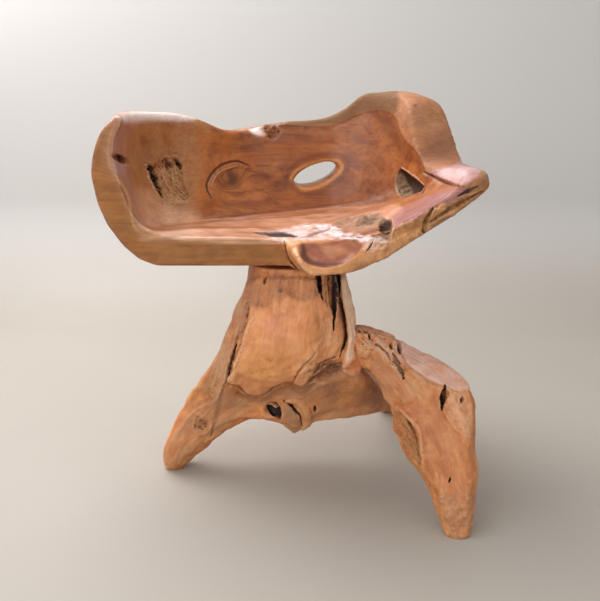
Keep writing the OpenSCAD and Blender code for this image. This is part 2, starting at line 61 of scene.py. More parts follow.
def makeCamera(s):
    data = bpy.data.cameras.new("camera")
    data.lens = s["lens"]
    data.sensor_width = s["sensor"]
    data.clip_start = s["near"]
    data.clip_end = s["far"]
    camera = bpy.data.objects.new("camera", data)
    camera.location = s["place"]
    camera.rotation_euler = (math.pi / 2 - s["tiltDown"], 0, 0)
    bpy.context.scene.collection.objects.link(camera)
    bpy.context.scene.camera = camera


makeCamera(cameraSettings)
tilt = cameraSettings["tiltDown"]
eye = np.array(cameraSettings["place"])
sight = np.array((0, math.cos(tilt), -math.sin(tilt)))
sightUp = np.array((0, math.sin(tilt), math.cos(tilt)))
focalPixels = cameraSettings["lens"] / cameraSettings["sensor"] * max(cameraSettings["picture"])
middlePixel = [side / 2 for side in cameraSettings["picture"]]


# Small helpers for meshes

def selectOnly(piece):
    for other in bpy.context.selected_objects:
        other.select_set(False)
    piece.select_set(True)
    bpy.context.view_layer.objects.active = piece


def applyModifier(piece, name):
    selectOnly(piece)
    bpy.ops.object.modifier_apply(modifier=name)


def smoothStep(value, low, high):
    t = np.clip((value - low) / (high - low), 0, 1)
    return t * t * (3 - 2 * t)


def roughness3d(points, size, octaves, seed):
    # Lumps of about this size, each octave half as large; the seed shifts the pattern
    shift = Vector((seed, seed * 1.7, seed * 0.6))
    return np.array([noise.fractal(Vector(p) / size + shift, 1.0, 2.0, octaves) for p in points])


def meshPoints(mesh):
    # Place and normal of each point
    places = np.empty(len(mesh.vertices) * 3, np.float32)
    normals = np.empty(len(mesh.vertices) * 3, np.float32)
    mesh.vertices.foreach_get("co", places)
    mesh.vertex_normals.foreach_get("vector", normals)
    return places.reshape(-1, 3).astype(float), normals.reshape(-1, 3).astype(float)


# Skin of a piece: its points as arrays, and where each is seen in the photograph

sightSlack = 0.006  # a point this close under the first surface still counts as seen
farOff = 1e9  # a distance that nothing here reaches


def readSkin(piece):
    co, no = meshPoints(piece.data)
    away = co - eye
    scale = (away @ sight) / focalPixels  # metres to a pixel
    skin = {"piece": piece, "co": co, "no": no, "scale": scale}
    skin["px"] = middlePixel[0] + away[:, 0] / scale
    skin["py"] = middlePixel[1] - (away @ sightUp) / scale
    skin["facing"] = -np.einsum("ij,ij->i", away, no) / np.linalg.norm(away, axis=1)
    skin["behind"] = np.where(skin["facing"] > 0, 0.0, sightSlack)  # depth under the first surface
    bpy.context.view_layer.update()
    origin = Vector(eye)
    for i, way in enumerate(away):
        ray = Vector(way)
        far = ray.length
        hit, place, normal, face = piece.ray_cast(origin, ray.normalized(), distance=far - sightSlack)
        if hit:
            skin["behind"][i] = far - (place - origin).length
    return skin


def writeSkin(skin):
    skin["piece"].data.vertices.foreach_set("co", skin["co"].astype(np.float32).ravel())
    skin["piece"].data.update()


def between(a, b, c, d, t):
    # A place on the smooth curve from b to c, with a before them and d after
    return 0.5 * (2 * b + (c - a) * t + (2 * a - 5 * b + 4 * c - d) * t ** 2
                  + (3 * b - a - 3 * c + d) * t ** 3)


def smoothPath(points, closed, steps=5):
    # A rounded path through the points
    p = [points[-1]] + points + points[:2] if closed else [points[0]] + points + [points[-1]]
    made = []
    for a, b, c, d in zip(p, p[1:], p[2:], p[3:]):
        for t in np.linspace(0, 1, steps, endpoint=False):
            made.append(tuple(between(a[k], b[k], c[k], d[k], t) for k in (0, 1)))
    return made if closed else made + [points[-1]]


def insideOutline(skin, outline, behind):
    # Metres from the outline's edge, positive inside, for points at most this far behind the surface
    outline = smoothPath(outline, True)
    x, y = skin["px"], skin["py"]
    best = np.full(len(x), farOff)
    inside = np.zeros(len(x), bool)
    ends = outline[1:] + outline[:1]
    for (x0, y0), (x1, y1) in zip(outline, ends):
        ex, ey = x1 - x0, y1 - y0
        t = np.clip(((x - x0) * ex + (y - y0) * ey) / (ex * ex + ey * ey), 0, 1)
        best = np.minimum(best, np.hypot(x - x0 - t * ex, y - y0 - t * ey))
        crosses = ((y0 > y) != (y1 > y)) & (x < ex * (y - y0) / (ey if ey else 1e-9) + x0)
        inside ^= crosses
    signed = np.where(inside, best, -best) * skin["scale"]
    return np.where(skin["behind"] <= behind, signed, -farOff)


def besideLine(skin, line, behind):
    # Metres from the line and the share of it that is passed, for points at most this far behind
    line = smoothPath(line, False)
    x, y = skin["px"], skin["py"]
    best = np.full(len(x), farOff)
    share = np.zeros(len(x))
    lengths = [math.dist(a, b) for a, b in zip(line, line[1:])]
    passed = 0.0
    for (a, b), length in zip(zip(line, line[1:]), lengths):
        ex, ey = b[0] - a[0], b[1] - a[1]
        t = np.clip(((x - a[0]) * ex + (y - a[1]) * ey) / (length * length), 0, 1)
        d = np.hypot(x - a[0] - t * ex, y - a[1] - t * ey)
        nearer = d < best
        best = np.where(nearer, d, best)
        share = np.where(nearer, (passed + t * length) / sum(lengths), share)
        passed += length
    return np.where(skin["behind"] <= behind, best * skin["scale"], farOff), share


def besidePath(skin, path):
    # Metres from a line drawn on the skin through places near it, and the share of the line passed
    best = np.full(len(skin["co"]), farOff)
    share = np.zeros(len(best))
    parts = 6  # of each stretch, so that the line follows the skin
    points = [Vector(a).lerp(Vector(b), t / parts) for a, b in zip(path, path[1:]) for t in range(parts)]
    points = [skin["piece"].closest_point_on_mesh(p)[1] for p in points + [Vector(path[-1])]]
    points = np.array([tuple(p) for p in points])
    for i in range(len(points) - 1):
        step = points[i + 1] - points[i]
        t = np.clip((skin["co"] - points[i]) @ step / (step @ step), 0, 1)
        away = np.linalg.norm(skin["co"] - points[i] - t[:, None] * step, axis=1)
        nearer = away < best
        best = np.where(nearer, away, best)
        share = np.where(nearer, (i + t) / (len(points) - 1), share)
    return best, share


def aroundPoint(skin, place, half, turn=0.0, behind=0.0):
    # Distance from a place in units of the half sizes, seen from the camera
    scale = skin["scale"]
    dx = (skin["px"] - place[0]) * scale
    dy = -(skin["py"] - place[1]) * scale
    c, s = math.cos(math.radians(turn)), math.sin(math.radians(turn))
    a = (dx * c + dy * s) / half[0]
    b = (dy * c - dx * s) / half[1]
    return np.where(skin["behind"] <= behind, np.hypot(a, b), farOff)


# Wood skins: a smooth, even mesh over a copy of the node's solid

skinSettings = {
    "merge": 0.00002,  # metres, for points that are the same
    "flat": 0.7,  # radians, for triangles that make one flat face
    "creaseAngle": 0.7,  # radians, for edges that stay sharp
    "rounding": 2,
    "softness": 0.5,
    "softening": 4,  # rounds
}


def woodSkin(node, name, grid, s):
    piece = bpy.data.objects.new(name, nodes[node].data.copy())
    bpy.context.scene.collection.objects.link(piece)
    piece.data.materials.clear()
    selectOnly(piece)
    bpy.ops.object.mode_set(mode="EDIT")
    bpy.ops.mesh.select_all(action="SELECT")
    bpy.ops.mesh.remove_doubles(threshold=s["merge"])
    bpy.ops.mesh.tris_convert_to_quads(face_threshold=s["flat"], shape_threshold=s["flat"])
    mesh = bmesh.from_edit_mesh(piece.data)
    crease = mesh.edges.layers.float.get("crease_edge") or mesh.edges.layers.float.new("crease_edge")
    for edge in mesh.edges:
        if len(edge.link_faces) == 2 and edge.calc_face_angle(0) > s["creaseAngle"]:
            edge[crease] = 1.0
    bmesh.update_edit_mesh(piece.data)
    bpy.ops.object.mode_set(mode="OBJECT")
    rounding = piece.modifiers.new("round", "SUBSURF")
    rounding.levels = rounding.render_levels = s["rounding"]
    applyModifier(piece, "round")
    even = piece.modifiers.new("even", "REMESH")
    even.mode = "VOXEL"
    even.voxel_size = grid
    applyModifier(piece, "even")
    soft = piece.modifiers.new("soft", "SMOOTH")
    soft.factor = s["softness"]
    soft.iterations = s["softening"]
    applyModifier(piece, "soft")
    print(name, "skin:", len(piece.data.polygons), "faces")
    return piece


def refine(piece, chosen):
    # Splits the faces that have a chosen point
    selectOnly(piece)
    bpy.ops.object.mode_set(mode="EDIT")
    bpy.ops.mesh.select_mode(type="FACE")
    bpy.ops.mesh.select_all(action="DESELECT")
    mesh = bmesh.from_edit_mesh(piece.data)
    for face in mesh.faces:
        if any(chosen[v.index] for v in face.verts):
            face.select_set(True)
    bmesh.update_edit_mesh(piece.data)
    bpy.ops.mesh.subdivide(number_cuts=1, quadcorner="INNERVERT")
    mesh = bmesh.from_edit_mesh(piece.data)
    bmesh.ops.triangulate(mesh, faces=[f for f in mesh.faces if len(f.verts) > 4])
    bmesh.update_edit_mesh(piece.data)
    bpy.ops.object.mode_set(mode="OBJECT")


# Colours are written as they look on a screen, 0 to 255

def paint(red, green, blue):
    return tuple(((c / 255 + 0.055) / 1.055) ** 2.4 for c in (red, green, blue))


# Features: marks on the wood, painted highlights and painted shade, each drawn as an area, line or
# spot in the photograph's pixels or as a path in space. Lengths are in millimetres, and turns in degrees.
#   soft, core, turn: width of an area's edge; the share at full strength; how a spot is turned
#   ragged, torn: how far an edge strays, and its share of a spot; raggedSize: over what length
#   deep, steep: how far the wood is cut in, and the turn of the side that is cut in less
#   flat, level: share of the way to one plane, and how high that plane lies
#   rough, roughSize, fibres, fibreTurn, fibreSize: height and size of lumps and of ridges
#   colour, strength, mottle, mottleSize, behind: a tint, how patchy it is, and how deep it reaches
#   matte: how much shine it takes away; fine: how many times the mesh is split there

lengthKeys = ("deep", "rough", "roughSize", "fibres", "fibreSize", "ragged", "raggedSize", "mottleSize",
              "behind")


def feature(shape, name, colour, strength, more):
    made = {"name": name, **shape}
    if colour:
        made["colour"] = paint(*colour)
        made["strength"] = strength
    for key, value in more.items():
        made[key] = value / 1000 if key in lengthKeys else value
    return made


def area(name, soft, outline, colour=None, strength=1.0, **more):
    return feature({"outline": outline, "soft": soft / 1000}, name, colour, strength, more)


def line(name, points, widths, colour=None, strength=1.0, **more):
    return feature({"line": points, "widths": [w / 1000 for w in widths]}, name, colour, strength, more)


def path(name, points, widths, colour=None, strength=1.0, **more):
    return feature({"path": points, "widths": [w / 1000 for w in widths]}, name, colour, strength, more)


def spot(name, place, half, colour=None, strength=1.0, **more):
    return feature({"place": place, "half": [h / 1000 for h in half]}, name, colour, strength, more)


# Carving: each feature moves points along the normal and paints a tint

seeds = {"area": 1.0, "line": 2.0, "spot": 3.0, "fibres": 5.0, "rough": 7.0, "mottle": 9.0}
carveSettings = {
    "fade": (-0.02, 0.25),  # areas fade where the wood turns away from the camera
    "jagReach": {"area": 3, "line": 0.03, "spot": 2.5},  # beyond it an edge isn't made ragged
    "jagSize": {"area": 0.009, "line": 0.007, "spot": 0.009},
    "core": {"line": 0.35, "spot": 0.3},
    "steepShare": 0.85,  # how much less a steep cut takes at its shallow side
    "level": 0.4,  # share of the points that lie under a flattened feature's plane
    "origin": 300,  # pixel from which fibres are measured, both ways
    "fibreLength": 9,  # in widths of a fibre
    "fibreDepth": 0.25,
    "fibreSize": 0.003,
    "roughSize": 0.006,
    "mottleLevel": 0.75,
    "mottleSize": 0.03,
    "least": 0.001,  # a weaker mark leaves the wood alone
    "finer": 0.02,  # a stronger mark gets a finer mesh
}


def jagOf(skin, f, kind, near, octaves):
    # How far a ragged edge strays, worked out only near it
    jag = np.zeros(len(near))
    size = f.get("raggedSize", carveSettings["jagSize"][kind])
    jag[near] = roughness3d(skin["co"][near], size, octaves, seeds[kind])
    return jag


def markOf(skin, f, behind=0.0):
    # Strength of a feature at each point, from 0 to 1
    s = carveSettings
    if "outline" in f:
        edge = insideOutline(skin, f["outline"], behind)
        if "ragged" in f:
            near = edge > -s["jagReach"]["area"] * f["ragged"]
            edge = edge + f["ragged"] * jagOf(skin, f, "area", near, 3)
        return smoothStep(edge, -f["soft"] / 2, f["soft"] / 2) * smoothStep(skin["facing"], *s["fade"])
    if "line" in f or "path" in f:
        away, share = besideLine(skin, f["line"], behind) if "line" in f else besidePath(skin, f["path"])
        width = np.interp(share, np.linspace(0, 1, len(f["widths"])), f["widths"]) / 2
        if "ragged" in f:
            away = away + f["ragged"] * jagOf(skin, f, "line", away < s["jagReach"]["line"], 2)
        return 1 - smoothStep(away, width * f.get("core", s["core"]["line"]), np.maximum(width, 1e-5))
    away = aroundPoint(skin, f["place"], f["half"], f.get("turn", 0), behind)
    if "torn" in f:
        away = away + f["torn"] * jagOf(skin, f, "spot", away < s["jagReach"]["spot"], 3)
    return 1 - smoothStep(away, f.get("core", s["core"]["spot"]), 1.0)


def cutDepth(skin, f, on):
    # How far the marked wood moves in, less towards one side of a steep cut, as on torn wood
    amount = np.full(len(skin["co"]), -f["deep"])
    if "steep" in f:
        turn = math.radians(f["steep"])
        across = skin["px"][on] * math.cos(turn) - skin["py"][on] * math.sin(turn)
        share = (across - across.min()) / max(across.max() - across.min(), 1e-9)
        amount[on] *= 1 - carveSettings["steepShare"] * share
    return amount


def toPlane(skin, f, mark):
    # Draws the wood in to one plane, as a facet left by an adze
    core = mark > 0.5
    centre = skin["co"][core].mean(axis=0)
    plane = np.linalg.svd(skin["co"][core] - centre, full_matrices=False)[2][2]
    plane *= np.sign(plane @ skin["no"][core].mean(axis=0))
    high = (skin["co"] - centre) @ plane
    high -= np.quantile(high[core], f.get("level", carveSettings["level"]))
    return -(high * f["flat"] * mark)[:, None] * plane


def fibreRidges(skin, f, on):
    # Ridges that run one way across the feature
    turn = math.radians(f.get("fibreTurn", 0))
    x, y = [(skin[key][on] - carveSettings["origin"]) * skin["scale"][on] for key in ("px", "py")]
    along = x * math.cos(turn) - y * math.sin(turn)
    across = -y * math.cos(turn) - x * math.sin(turn)
    depth = skin["co"][on][:, 1] * carveSettings["fibreDepth"]
    points = np.stack([along / carveSettings["fibreLength"], across, depth], 1)
    size = f.get("fibreSize", carveSettings["fibreSize"])
    return f["fibres"] * roughness3d(points, size, 3, seeds["fibres"])


def layTint(tint, colour, strength):
    # One thin coat of colour over those that are there
    keep = tint[:, 3] * (1 - strength)
    alpha = strength + keep
    coats = np.outer(strength, colour) + tint[:, :3] * keep[:, None]
    tint[:, :3] = coats / np.maximum(alpha, 1e-6)[:, None]
    tint[:, 3] = alpha


def carve(skin, features):
    s = carveSettings
    count = len(skin["co"])
    move = np.zeros(count)
    shift = np.zeros((count, 3))
    tint = np.zeros((count, 4))
    shine = np.ones(count)
    for f in features:
        mark = markOf(skin, f)
        on = mark > s["least"]
        if not on.any():
            print("feature missed:", f["name"])
            continue
        if "deep" in f:
            move += cutDepth(skin, f, on) * mark
        if "flat" in f:
            shift += toPlane(skin, f, mark)
        if "matte" in f:
            shine *= 1 - f["matte"] * mark
        if "fibres" in f:
            move[on] += fibreRidges(skin, f, on) * mark[on]
        if "rough" in f:
            lumps = roughness3d(skin["co"][on], f.get("roughSize", s["roughSize"]), 4, seeds["rough"])
            move[on] += f["rough"] * lumps * mark[on]
        if "colour" in f:
            strength = f["strength"] * (markOf(skin, f, f["behind"]) if "behind" in f else mark)
            if "mottle" in f:
                clouds = roughness3d(skin["co"][on], f.get("mottleSize", s["mottleSize"]), 2,
                                     seeds["mottle"])
                strength[on] *= np.clip(s["mottleLevel"] + f["mottle"] * clouds, 0, 1)
            layTint(tint, f["colour"], strength)
    skin["co"] += skin["no"] * move[:, None] + shift
    skin["tint"] = tint
    skin["shine"] = shine


wearAndShadeRounds = 2  # how often the bend for wear and painted shade is spread to the points around


def wearAndShadeOf(mesh):
    # How far each point stands out from its neighbours, in units of the mesh's edge; worn edges are
    # lightened and hollows get painted shade by it
    co, no = meshPoints(mesh)
    count = len(co)
    edges = np.empty(len(mesh.edges) * 2, np.int32)
    mesh.edges.foreach_get("vertices", edges)
    a, b = edges.reshape(-1, 2).T
    degree = np.maximum(np.bincount(a, minlength=count) + np.bincount(b, minlength=count), 1)

    def neighbours(values):
        total = np.zeros_like(values)
        np.add.at(total, a, values[b])
        np.add.at(total, b, values[a])
        return total / (degree[:, None] if values.ndim == 2 else degree)

    length = np.linalg.norm(co[a] - co[b], axis=1)
    reach = (np.bincount(a, length, count) + np.bincount(b, length, count)) / degree
    bend = np.einsum("ij,ij->i", co - neighbours(co), no) / reach
    for step in range(wearAndShadeRounds):
        bend = (bend + neighbours(bend)) / 2
    return bend


def writeAttribute(piece, name, kind, key, values):
    attribute = piece.data.attributes.new(name, kind, "POINT")
    attribute.data.foreach_set(key, np.ascontiguousarray(values, np.float32).ravel())


def finishWood(piece, skin, grain, body, node, material):
    writeAttribute(piece, "grain", "FLOAT_VECTOR", "vector", grain)
    writeAttribute(piece, "tint", "FLOAT_COLOR", "color", skin["tint"])
    writeAttribute(piece, "shine", "FLOAT", "value", skin["shine"])
    writeAttribute(piece, "wearAndShade", "FLOAT", "value", wearAndShadeOf(piece.data))
    piece.data.materials.append(material)
    selectOnly(piece)
    bpy.ops.object.shade_smooth()
    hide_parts(node)
    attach(piece, body)
    print(piece.name, "done:", len(piece.data.vertices), "points")


# Grain: for each point two coordinates across the grain and one along it, in metres

seatGrain = {
    "pith": (0.0, 0.345),  # the middle of the log, as y and z; the log lies along x
    "heart": 0.02,  # the rings inside this radius aren't bent further
    "wave": 0.016,
    "waveSize": 0.16,
    "waveLength": 2.5,  # along the log, in sizes of a wave
    "knots": [  # place in the photograph, rise of the rings there, spread
        ((228, 180), 0.050, 0.032),
        ((166, 178), 0.034, 0.040),
        ((120, 159), 0.022, 0.022),
        ((370, 134), 0.020, 0.018),
        ((281, 186), 0.018, 0.030),
        ((330, 256), 0.060, 0.045),
        ((414, 106), 0.012, 0.014),
    ],
}


def logGrain(skin, s):
    co = skin["co"]
    across = co[:, 1:3] - np.array(s["pith"])
    radius = np.maximum(np.linalg.norm(across, axis=1), s["heart"])
    rise = np.zeros(len(co))
    for place, height, spread in s["knots"]:
        rise += height * np.exp(-aroundPoint(skin, place, (spread, spread)) ** 2)
    stretch = np.array([s["waveLength"], 1, 1])
    wave = np.array([noise.noise_vector(Vector(p) / s["waveSize"]) for p in co / stretch])
    across = across * (1 + rise / radius)[:, None] + s["wave"] * wave[:, :2]
    return np.column_stack([across, co[:, 0] + s["wave"] * wave[:, 2]])


rootSpines = {  # x, y, z and half width along each root
    "stump": [
        (0.008, -0.035, 0.410, 0.088), (0.004, -0.036, 0.330, 0.098), (-0.004, -0.035, 0.262, 0.112),
        (-0.035, -0.030, 0.196, 0.110), (-0.078, -0.024, 0.156, 0.080), (-0.124, -0.022, 0.116, 0.058),
        (-0.172, -0.023, 0.080, 0.048), (-0.206, -0.024, 0.036, 0.040), (-0.226, -0.024, -0.01, 0.030),
    ],
    "rightLeg": [
        (0.060, -0.060, 0.262, 0.055), (0.118, -0.066, 0.246, 0.055), (0.166, -0.085, 0.226, 0.056),
        (0.208, -0.115, 0.196, 0.056), (0.238, -0.150, 0.148, 0.052), (0.254, -0.195, 0.094, 0.042),
        (0.264, -0.240, 0.040, 0.034), (0.266, -0.268, -0.01, 0.026),
    ],
    "backLeg": [
        (0.060, -0.020, 0.196, 0.050), (0.120, 0.058, 0.186, 0.050), (0.162, 0.118, 0.168, 0.050),
        (0.192, 0.176, 0.128, 0.048), (0.207, 0.222, 0.080, 0.040), (0.213, 0.252, 0.030, 0.034),
        (0.214, 0.264, -0.01, 0.026),
    ],
}


def smoothSpine(points, steps=8):
    p = np.array([points[0]] + points + [points[-1]])
    made = []
    for i in range(1, len(p) - 2):
        for t in np.linspace(0, 1, steps, endpoint=False):
            made.append(between(*p[i - 1:i + 3], t))
    made.append(p[-2])
    return np.array(made)


rootWaves = {"size": 0.07, "height": 0.006}


def rootGrain(skin, spine):
    co = skin["co"]
    line = smoothSpine(spine)
    middle, half = line[:, :3], line[:, 3]
    passed = np.concatenate([[0], np.cumsum(np.linalg.norm(np.diff(middle, axis=0), axis=1))])
    best = np.full(len(co), farOff)
    made = np.zeros((len(co), 3))
    meanHalf = half.mean()
    for i in range(len(line) - 1):
        step = middle[i + 1] - middle[i]
        length = np.linalg.norm(step)
        way = step / length
        t = np.clip((co - middle[i]) @ way / length, 0, 1)
        off = co - middle[i] - t[:, None] * step
        away = np.linalg.norm(off, axis=1)
        side = np.cross(way, (0, 1, 0))
        side /= np.linalg.norm(side)
        other = np.cross(side, way)
        width = half[i] + (half[i + 1] - half[i]) * t
        here = np.column_stack([off @ side / width * meanHalf, off @ other / width * meanHalf,
                                passed[i] + t * length])
        nearer = away < best
        best = np.where(nearer, away, best)
        made[nearer] = here[nearer]
    waves = np.array([noise.noise_vector(Vector(p) / rootWaves["size"]) for p in co])
    return made + rootWaves["height"] * waves


# Shared effects, as shader node groups

def newGroup(name, inputs, outputs):
    group = bpy.data.node_groups.new(name, "ShaderNodeTree")
    for label, kind, value in inputs:
        made = group.interface.new_socket(name=label, in_out="INPUT", socket_type=kind)
        made.default_value = value
    for label, kind in outputs:
        group.interface.new_socket(name=label, in_out="OUTPUT", socket_type=kind)
    return group, group.nodes.new("NodeGroupInput"), group.nodes.new("NodeGroupOutput")


def addMath(tree, operation, a, b=None, c=None, clamp=False):
    node = tree.nodes.new("ShaderNodeMath")
    node.operation = operation
    node.use_clamp = clamp
    for socket, value in zip(node.inputs, (a, b, c)):
        if isinstance(value, (int, float)):
            socket.default_value = value
        elif value is not None:
            tree.links.new(value, socket)
    return node.outputs[0]


def addScaled(tree, vector, size):
    # Stretched by three numbers, or by one value that changes over the surface
    node = tree.nodes.new("ShaderNodeVectorMath")
    tree.links.new(vector, node.inputs[0])
    if isinstance(size, tuple):
        node.operation = "MULTIPLY"
        node.inputs[1].default_value = size
    else:
        node.operation = "SCALE"
        tree.links.new(size, node.inputs["Scale"])
    return node.outputs["Vector"]


def addNoise(tree, vector, scale, detail, rough, distortion=0.0):
    node = tree.nodes.new("ShaderNodeTexNoise")
    tree.links.new(vector, node.inputs["Vector"])
    node.inputs["Scale"].default_value = scale
    node.inputs["Detail"].default_value = detail
    node.inputs["Roughness"].default_value = rough
    node.inputs["Distortion"].default_value = distortion
    return node.outputs["Fac"]


def addRange(tree, value, low, high, toLow=0.0, toHigh=1.0):
    node = tree.nodes.new("ShaderNodeMapRange")
    node.interpolation_type = "SMOOTHSTEP"
    tree.links.new(value, node.inputs["Value"])
    for label, number in (("From Min", low), ("From Max", high), ("To Min", toLow), ("To Max", toHigh)):
        node.inputs[label].default_value = number
    return node.outputs["Result"]


def addMix(tree, kind, share, a, b):
    node = tree.nodes.new("ShaderNodeMix")
    node.data_type = "RGBA"
    node.blend_type = kind
    node.clamp_factor = True
    sockets = {"share": node.inputs[0], "a": node.inputs[6], "b": node.inputs[7]}  # those for colours
    for label, value in (("share", share), ("a", a), ("b", b)):
        if isinstance(value, (int, float, tuple)):
            sockets[label].default_value = value if isinstance(value, (int, float)) else (*value, 1)
        else:
            tree.links.new(value, sockets[label])
    return node.outputs[2]


def addAttribute(tree, name):
    node = tree.nodes.new("ShaderNodeAttribute")
    node.attribute_name = name
    return node


def addBump(tree, height, strength, distance, shader):
    bump = tree.nodes.new("ShaderNodeBump")
    bump.inputs["Strength"].default_value = strength
    bump.inputs["Distance"].default_value = distance
    tree.links.new(height, bump.inputs["Height"])
    tree.links.new(bump.outputs["Normal"], shader.inputs["Normal"])


grainNoises = {  # stretch along the grain, then scale, detail, roughness and distortion
    "patch": (0.28, 13, 4, 0.6, 0.6),
    "warp": (0.2, 22, 3, 0.55, 0.0),
    "streak": (0.03, 260, 5, 0.62, 0.0),
    "broad": (0.05, 75, 3, 0.6, 0.0),
    "pore": (0.035, 900, 2, 0.55, 0.0),
    "blotch": (0.55, 42, 5, 0.62, 0.8),
    "fold": (0.35, 70, 4, 0.6, 1.2),
}
figureSettings = {
    "ringWarp": 0.05, "ringSharpness": 2.2, "patchRange": (0.36, 0.62), "broadRange": (0.42, 0.70),
    "blotchRange": (0.40, 0.66), "poreRange": (0.60, 0.72), "wrinkleWidth": 0.035,
    "shadeRange": (0.35, 0.62, -0.18, 0.10), "poreShade": 0.4, "poreColour": (0.35, 0.28, 0.25),
    "streakHeight": 0.6, "wrinkleDepth": 1.5,
}


def makeWoodFigure(s):
    # Growth rings, streaks and pores that follow the grain coordinates
    tree, given, made = newGroup("wood figure", [
        ("Light", "NodeSocketColor", (0.5, 0.25, 0.12, 1)),
        ("Middle", "NodeSocketColor", (0.3, 0.12, 0.05, 1)),
        ("Deep", "NodeSocketColor", (0.15, 0.05, 0.02, 1)),
        ("Ring Gap", "NodeSocketFloat", 0.009),
        ("Ring Strength", "NodeSocketFloat", 0.35),
        ("Streak Strength", "NodeSocketFloat", 0.5),
        ("Blotch Strength", "NodeSocketFloat", 0.3),
        ("Wrinkle Strength", "NodeSocketFloat", 0.3),
        ("Fine Strength", "NodeSocketFloat", 1.0),
    ], [("Color", "NodeSocketColor"), ("Height", "NodeSocketFloat"), ("Streak", "NodeSocketFloat")])
    fine = given.outputs["Fine Strength"]
    grain = addAttribute(tree, "grain").outputs["Vector"]
    noises = {}
    for name, (stretch, *values) in grainNoises.items():
        noises[name] = addNoise(tree, addScaled(tree, grain, (1, 1, stretch)), *values)

    def times(a, b):
        return addMath(tree, "MULTIPLY", a, b)

    def cover(base, mask, strength, colour):
        share = times(mask, given.outputs[strength])
        return addMix(tree, "MIX", share, base, given.outputs[colour])

    length = tree.nodes.new("ShaderNodeVectorMath")
    length.operation = "LENGTH"
    tree.links.new(addScaled(tree, grain, (1, 1, 0)), length.inputs[0])
    bent = addMath(tree, "ADD", length.outputs["Value"], times(noises["warp"], s["ringWarp"]))
    turns = addMath(tree, "DIVIDE", bent, given.outputs["Ring Gap"])
    ring = addMath(tree, "SINE", times(turns, 2 * math.pi))
    ring = addMath(tree, "POWER", addMath(tree, "MULTIPLY_ADD", ring, 0.5, 0.5), s["ringSharpness"])
    fold = addMath(tree, "ABSOLUTE", addMath(tree, "SUBTRACT", noises["fold"], 0.5))
    wrinkle = addRange(tree, fold, 0.0, s["wrinkleWidth"], 1.0, 0.0)
    pore = times(addRange(tree, noises["pore"], *s["poreRange"]), fine)

    base = addMix(tree, "MIX", addRange(tree, noises["patch"], *s["patchRange"]),
                  given.outputs["Deep"], given.outputs["Middle"])
    base = cover(base, addRange(tree, noises["broad"], *s["broadRange"]), "Streak Strength", "Light")
    base = cover(base, ring, "Ring Strength", "Deep")
    base = cover(base, addRange(tree, noises["blotch"], *s["blotchRange"]), "Blotch Strength", "Light")
    base = cover(base, wrinkle, "Wrinkle Strength", "Deep")
    shade = addRange(tree, noises["streak"], *s["shadeRange"])
    base = addScaled(tree, base, addMath(tree, "MULTIPLY_ADD", shade, fine, 1.0))
    colour = addMix(tree, "MULTIPLY", times(pore, s["poreShade"]), base, s["poreColour"])

    lines = times(times(noises["streak"], fine), s["streakHeight"])
    creases = times(times(wrinkle, given.outputs["Wrinkle Strength"]), s["wrinkleDepth"])
    height = addMath(tree, "SUBTRACT", addMath(tree, "SUBTRACT", lines, pore), creases)
    calm = addMath(tree, "SUBTRACT", noises["streak"], 0.5)
    tree.links.new(colour, made.inputs["Color"])
    tree.links.new(height, made.inputs["Height"])
    tree.links.new(addMath(tree, "MULTIPLY_ADD", calm, fine, 0.5), made.inputs["Streak"])
    return tree


marksSettings = {
    "streakRange": (0.3, 0.68, 0.78, 1.2), "edgeRange": (0.03, 0.16), "edgeColour": (0.35, 0.24, 0.16),
    "hollowRange": (0.03, 0.22), "hollowShadeColour": (0.22, 0.15, 0.12), "matteDull": 0.34,
    "hollowDull": 0.3, "streakDull": 0.2,
}


def makeWoodMarks(s):
    # The tint painted by each feature, lighter worn edges and painted shade in hollows
    tree, given, made = newGroup("wood marks", [
        ("Color", "NodeSocketColor", (0.3, 0.12, 0.05, 1)),
        ("Streak", "NodeSocketFloat", 0.5),
        ("Edge Light", "NodeSocketFloat", 0.35),
        ("Hollow Shade", "NodeSocketFloat", 0.6),
        ("Polish", "NodeSocketFloat", 0.38),
        ("Coat", "NodeSocketFloat", 0.3),
    ], [("Color", "NodeSocketColor"), ("Roughness", "NodeSocketFloat"), ("Coat", "NodeSocketFloat")])
    streak = given.outputs["Streak"]
    tint = addAttribute(tree, "tint")
    wearAndShade = addAttribute(tree, "wearAndShade").outputs["Fac"]
    shine = addAttribute(tree, "shine").outputs["Fac"]
    stained = addScaled(tree, tint.outputs["Color"], addRange(tree, streak, *s["streakRange"]))
    colour = addMix(tree, "MIX", tint.outputs["Alpha"], given.outputs["Color"], stained)
    out = addMath(tree, "MULTIPLY", addRange(tree, wearAndShade, *s["edgeRange"]), given.outputs["Edge Light"])
    colour = addMix(tree, "SCREEN", out, colour, s["edgeColour"])
    # painted shade in hollows: darker and duller where the skin bends in
    inward = addRange(tree, addMath(tree, "MULTIPLY", wearAndShade, -1), *s["hollowRange"])
    dark = addMath(tree, "MULTIPLY", inward, given.outputs["Hollow Shade"])
    colour = addMix(tree, "MULTIPLY", dark, colour, s["hollowShadeColour"])
    dull = addMath(tree, "MULTIPLY_ADD", shine, -s["matteDull"], s["matteDull"])
    dull = addMath(tree, "MULTIPLY_ADD", inward, s["hollowDull"], dull)
    dull = addMath(tree, "MULTIPLY_ADD", streak, s["streakDull"], dull)
    rough = addMath(tree, "ADD", given.outputs["Polish"], dull, clamp=True)
    coat = addMath(tree, "MULTIPLY", shine, given.outputs["Coat"])
    coat = addMath(tree, "MULTIPLY", coat, addMath(tree, "SUBTRACT", 1.0, inward), clamp=True)
    tree.links.new(colour, made.inputs["Color"])
    tree.links.new(rough, made.inputs["Roughness"])
    tree.links.new(coat, made.inputs["Coat"])
    return tree


woodFigure = makeWoodFigure(figureSettings)
woodMarks = makeWoodMarks(marksSettings)


